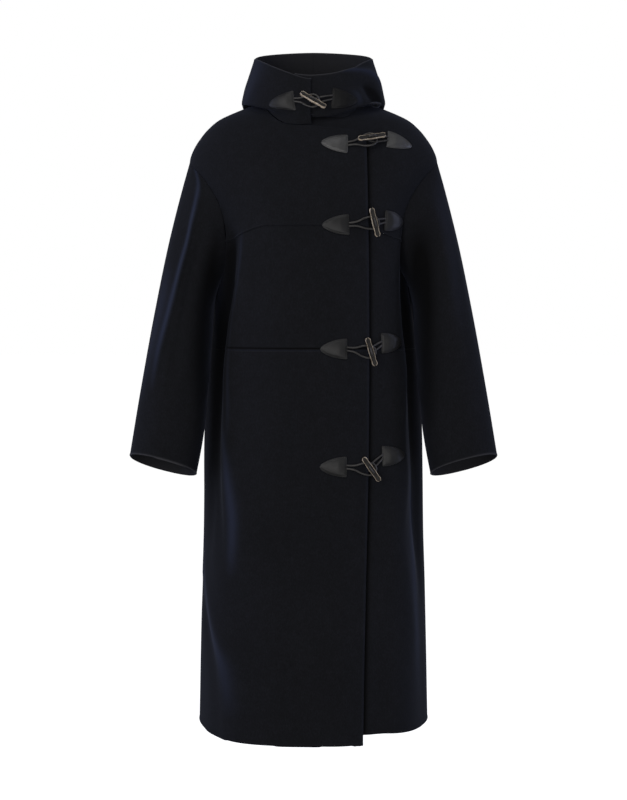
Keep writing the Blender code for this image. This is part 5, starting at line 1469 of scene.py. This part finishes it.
def heading_way(heading):
    return np.array((math.cos(math.radians(heading)), math.sin(math.radians(heading))))


def closure(row):
    """One closure: two shields, the toggle over the front edge, its cord and the loop round it."""
    name, loop_x, loop_z, loop_heading, toggle_x, toggle_z, lean, button_x, button_z, button_heading = row
    at_throat = name == "closure1"
    guess = (0.0, HOOD_EDGE_AT) if at_throat else (turn_at_x(toggle_x, toggle_z), toggle_z)
    over = Ground(hood_point if at_throat else body_point, guess)
    under_sunk = hood_sunk if at_throat else front_sunk
    calf = CALF_OF.get(name, (PLAIN_CALF, PLAIN_CALF))
    shield(f"{name}_loop_shield", f"{name}_loop_patch", over, loop_x, loop_z, loop_heading,
           none_sunk, calf[0])
    shield(f"{name}_toggle_shield", f"{name}_toggle_patch", over, button_x, button_z, button_heading,
           under_sunk, calf[1])

    middle = np.array((toggle_x, toggle_z))
    a, b = over.place(*middle)
    normal = facing(over.surface, a, b)
    lay = np.array((math.cos(math.radians(lean)), 0.0, math.sin(math.radians(lean))))
    axis = unit(lay - normal * (lay @ normal))
    seat = over.surface(a, b) + normal * TOGGLE_HEIGHT
    face = toggle(f"{name}_peg", f"{name}_toggle", seat, axis, normal, TOGGLE_ROLL[name])

    base = np.array((loop_x, loop_z))
    reach = np.linalg.norm(middle - base)
    way = (middle - base) / reach
    off = across_of(way)
    out = -heading_way(loop_heading)
    mouth = base - out * CORD_INSET
    ends = [over.point(*(mouth + across_of(out) * v), CORD_LOW) for v in (LOOP_SPREAD, -LOOP_SPREAD)]
    strand = [
        (
            reach * share + EYE_RADIUS * past,
            EYE_RADIUS * wide if wide else LOOP_SPREAD + LOOP_FLARE,
            CORD_LOW + (CORD_HIGH - CORD_LOW) * up,
        )
        for share, past, wide, up in LOOP_STRAND
    ]
    route = strand + [(reach + EYE_RADIUS, 0.0, CORD_HIGH)] + [(u, -v, h) for u, v, h in strand[::-1]]
    eye = [over.point(*(base + way * u + off * v), h) for u, v, h in route]
    thong(f"{name}_loop_thong", f"{name}_loop", [ends[0], *eye, ends[1]], LOOP_RINGS)

    base = np.array((button_x, button_z))
    reach = np.linalg.norm(base - middle)
    way = (base - middle) / reach
    off = across_of(way)
    out = heading_way(button_heading)
    a, b = over.place(*base)
    low = CORD_LOW - float(under_sunk(np.array(a), np.array(b)))
    hole = heading_way(lean) * TOGGLE_HOLE_AT
    near = abs(hole @ way) + LOOP_FLARE
    side = 1.0 if hole @ off >= 0 else -1.0
    ends = []
    for sign in (side, -side):
        mouth = base + out * CORD_INSET + across_of(out) * sign * BUTTON_SPREAD
        wide = sign * NECK_SPREAD
        flat = [((reach + near) / 2, wide, (low + 2 * CORD_LOW) / 3), (near, wide, CORD_LOW)]
        run = [over.point(*(middle + way * u + off * v), h) for u, v, h in flat]
        ends.append([over.point(*mouth, low), *run])
    rises = [(face if h > UNDER_PEG else normal) * h for h in TOGGLE_CORD_RISES]
    up = [seat + axis * TOGGLE_HOLE_AT + rise_by for rise_by in rises]
    down = [seat - axis * TOGGLE_HOLE_AT + rise_by for rise_by in rises]
    top = [seat + face * (HOLLOW_DEPTH + CORD_RADIUS + TOGGLE_CORD_OVER)]
    route = ends[0] + up + top + down[::-1] + ends[1][::-1]
    thong(f"{name}_peg_thong", f"{name}_toggle_cord", route, TOGGLE_CORD_RINGS, TOGGLE_CORD_RADIUS)


for closure_row in CLOSURES:
    closure(closure_row)

grey_thread = spun_thread("spun_polyester_thread_grey", ("#1c1c1e", "#2c2c2e"))
piece = stitches("shield_stitching", patch_lines, grey_thread, PATCH_PITCH, PATCH_STITCH, PATCH_THREAD)
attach(piece, "root")

# ---------------------------------------------------------------------------------------------------------
# The studio: a wide white floor, an even white surround, three soft lights before the coat, one of them high
# above it, and two cool strips at its sides that draw its edges.

CAMERA_Y = -3.0
CAMERA_Z = -0.370
CAMERA_LENS = 69.93
CAMERA_DIP = 3.682
FLOOR_Z = -1.55
FLOOR_SIDE = 30.0
FLOOR_GLOW = 0.85
SURROUND = 0.20

matt, tree, shader = start("matt_white_floor_paint")
where = add(tree, "ShaderNodeTexCoord").outputs["Object"]
wash = noise(tree, where, 3.0, 2.0)
tree.links.new(ramp(tree, wash, ((0.3, "#f3f3f3"), (0.7, "#f8f8f8"))), shader.inputs["Base Color"])
shader.inputs["Roughness"].default_value = 0.9
shader.inputs["Emission Color"].default_value = linear("#ffffff")
shader.inputs["Emission Strength"].default_value = FLOOR_GLOW
corners = np.array([(-1, -1, 0), (1, -1, 0), (1, 1, 0), (-1, 1, 0)]) * FLOOR_SIDE + (0, 0, FLOOR_Z)
floor = mesh_object("white_floor", corners, [(0, 1, 2, 3)], matt)
floor.visible_diffuse = False
floor.visible_glossy = False

world = bpy.data.worlds.new("white_surround")
world.use_nodes = True
tree = world.node_tree
seen = add(tree, "ShaderNodeLightPath").outputs["Is Camera Ray"]
level = add(tree, "ShaderNodeMapRange", {"Value": seen, "To Min": SURROUND, "To Max": 1.0}).outputs["Result"]
surround = tree.nodes["Background"]
surround.inputs["Color"].default_value = linear("#ffffff")
tree.links.new(level, surround.inputs["Strength"])
bpy.context.scene.world = world


def soft_light(name, place, target, width, height, power, colour):
    """A flat rectangular light that faces a target."""
    lamp = bpy.data.lights.new(name, "AREA")
    lamp.shape, lamp.size, lamp.size_y, lamp.energy = "RECTANGLE", width, height, power
    lamp.color = linear(colour)[:3]
    item = bpy.data.objects.new(name, lamp)
    bpy.context.collection.objects.link(item)
    from_to = np.array(target, float) - np.array(place, float)
    item.location = place
    yaw = math.atan2(from_to[1], from_to[0])
    tilt = math.acos(-from_to[2] / np.linalg.norm(from_to))
    item.rotation_euler = (tilt, 0.0, yaw - QUARTER)


soft_light("key_softbox", (-1.5, -2.6, 0.5), (0, 0, -0.45), 1.4, 2.0, 32.0, "#fffdfb")
soft_light("front_softbox", (0.3, -3.3, -1.0), (0, 0, -0.8), 1.6, 1.6, 33.0, "#fffdfb")
soft_light("top_softbox", (0.2, -1.6, 2.4), (0, 0, -0.2), 1.4, 1.0, 12.0, "#ffffff")
soft_light("left_strip", (-2.0, -0.10, -0.3), (0, 0, -0.5), 0.3, 2.6, 15.0, "#c6d0fb")
soft_light("right_strip", (2.0, -0.10, -0.3), (0, 0, -0.5), 0.3, 2.6, 14.0, "#c6d0fb")

camera = bpy.data.cameras.new("camera")
camera.lens = CAMERA_LENS
camera.sensor_width = 36.0
camera_object = bpy.data.objects.new("camera", camera)
camera_object.location = (0.0, CAMERA_Y, CAMERA_Z)
camera_object.rotation_euler = (QUARTER - math.radians(CAMERA_DIP), 0.0, 0.0)
bpy.context.collection.objects.link(camera_object)
bpy.context.scene.camera = camera_object
bpy.context.scene.view_settings.view_transform = "Standard"
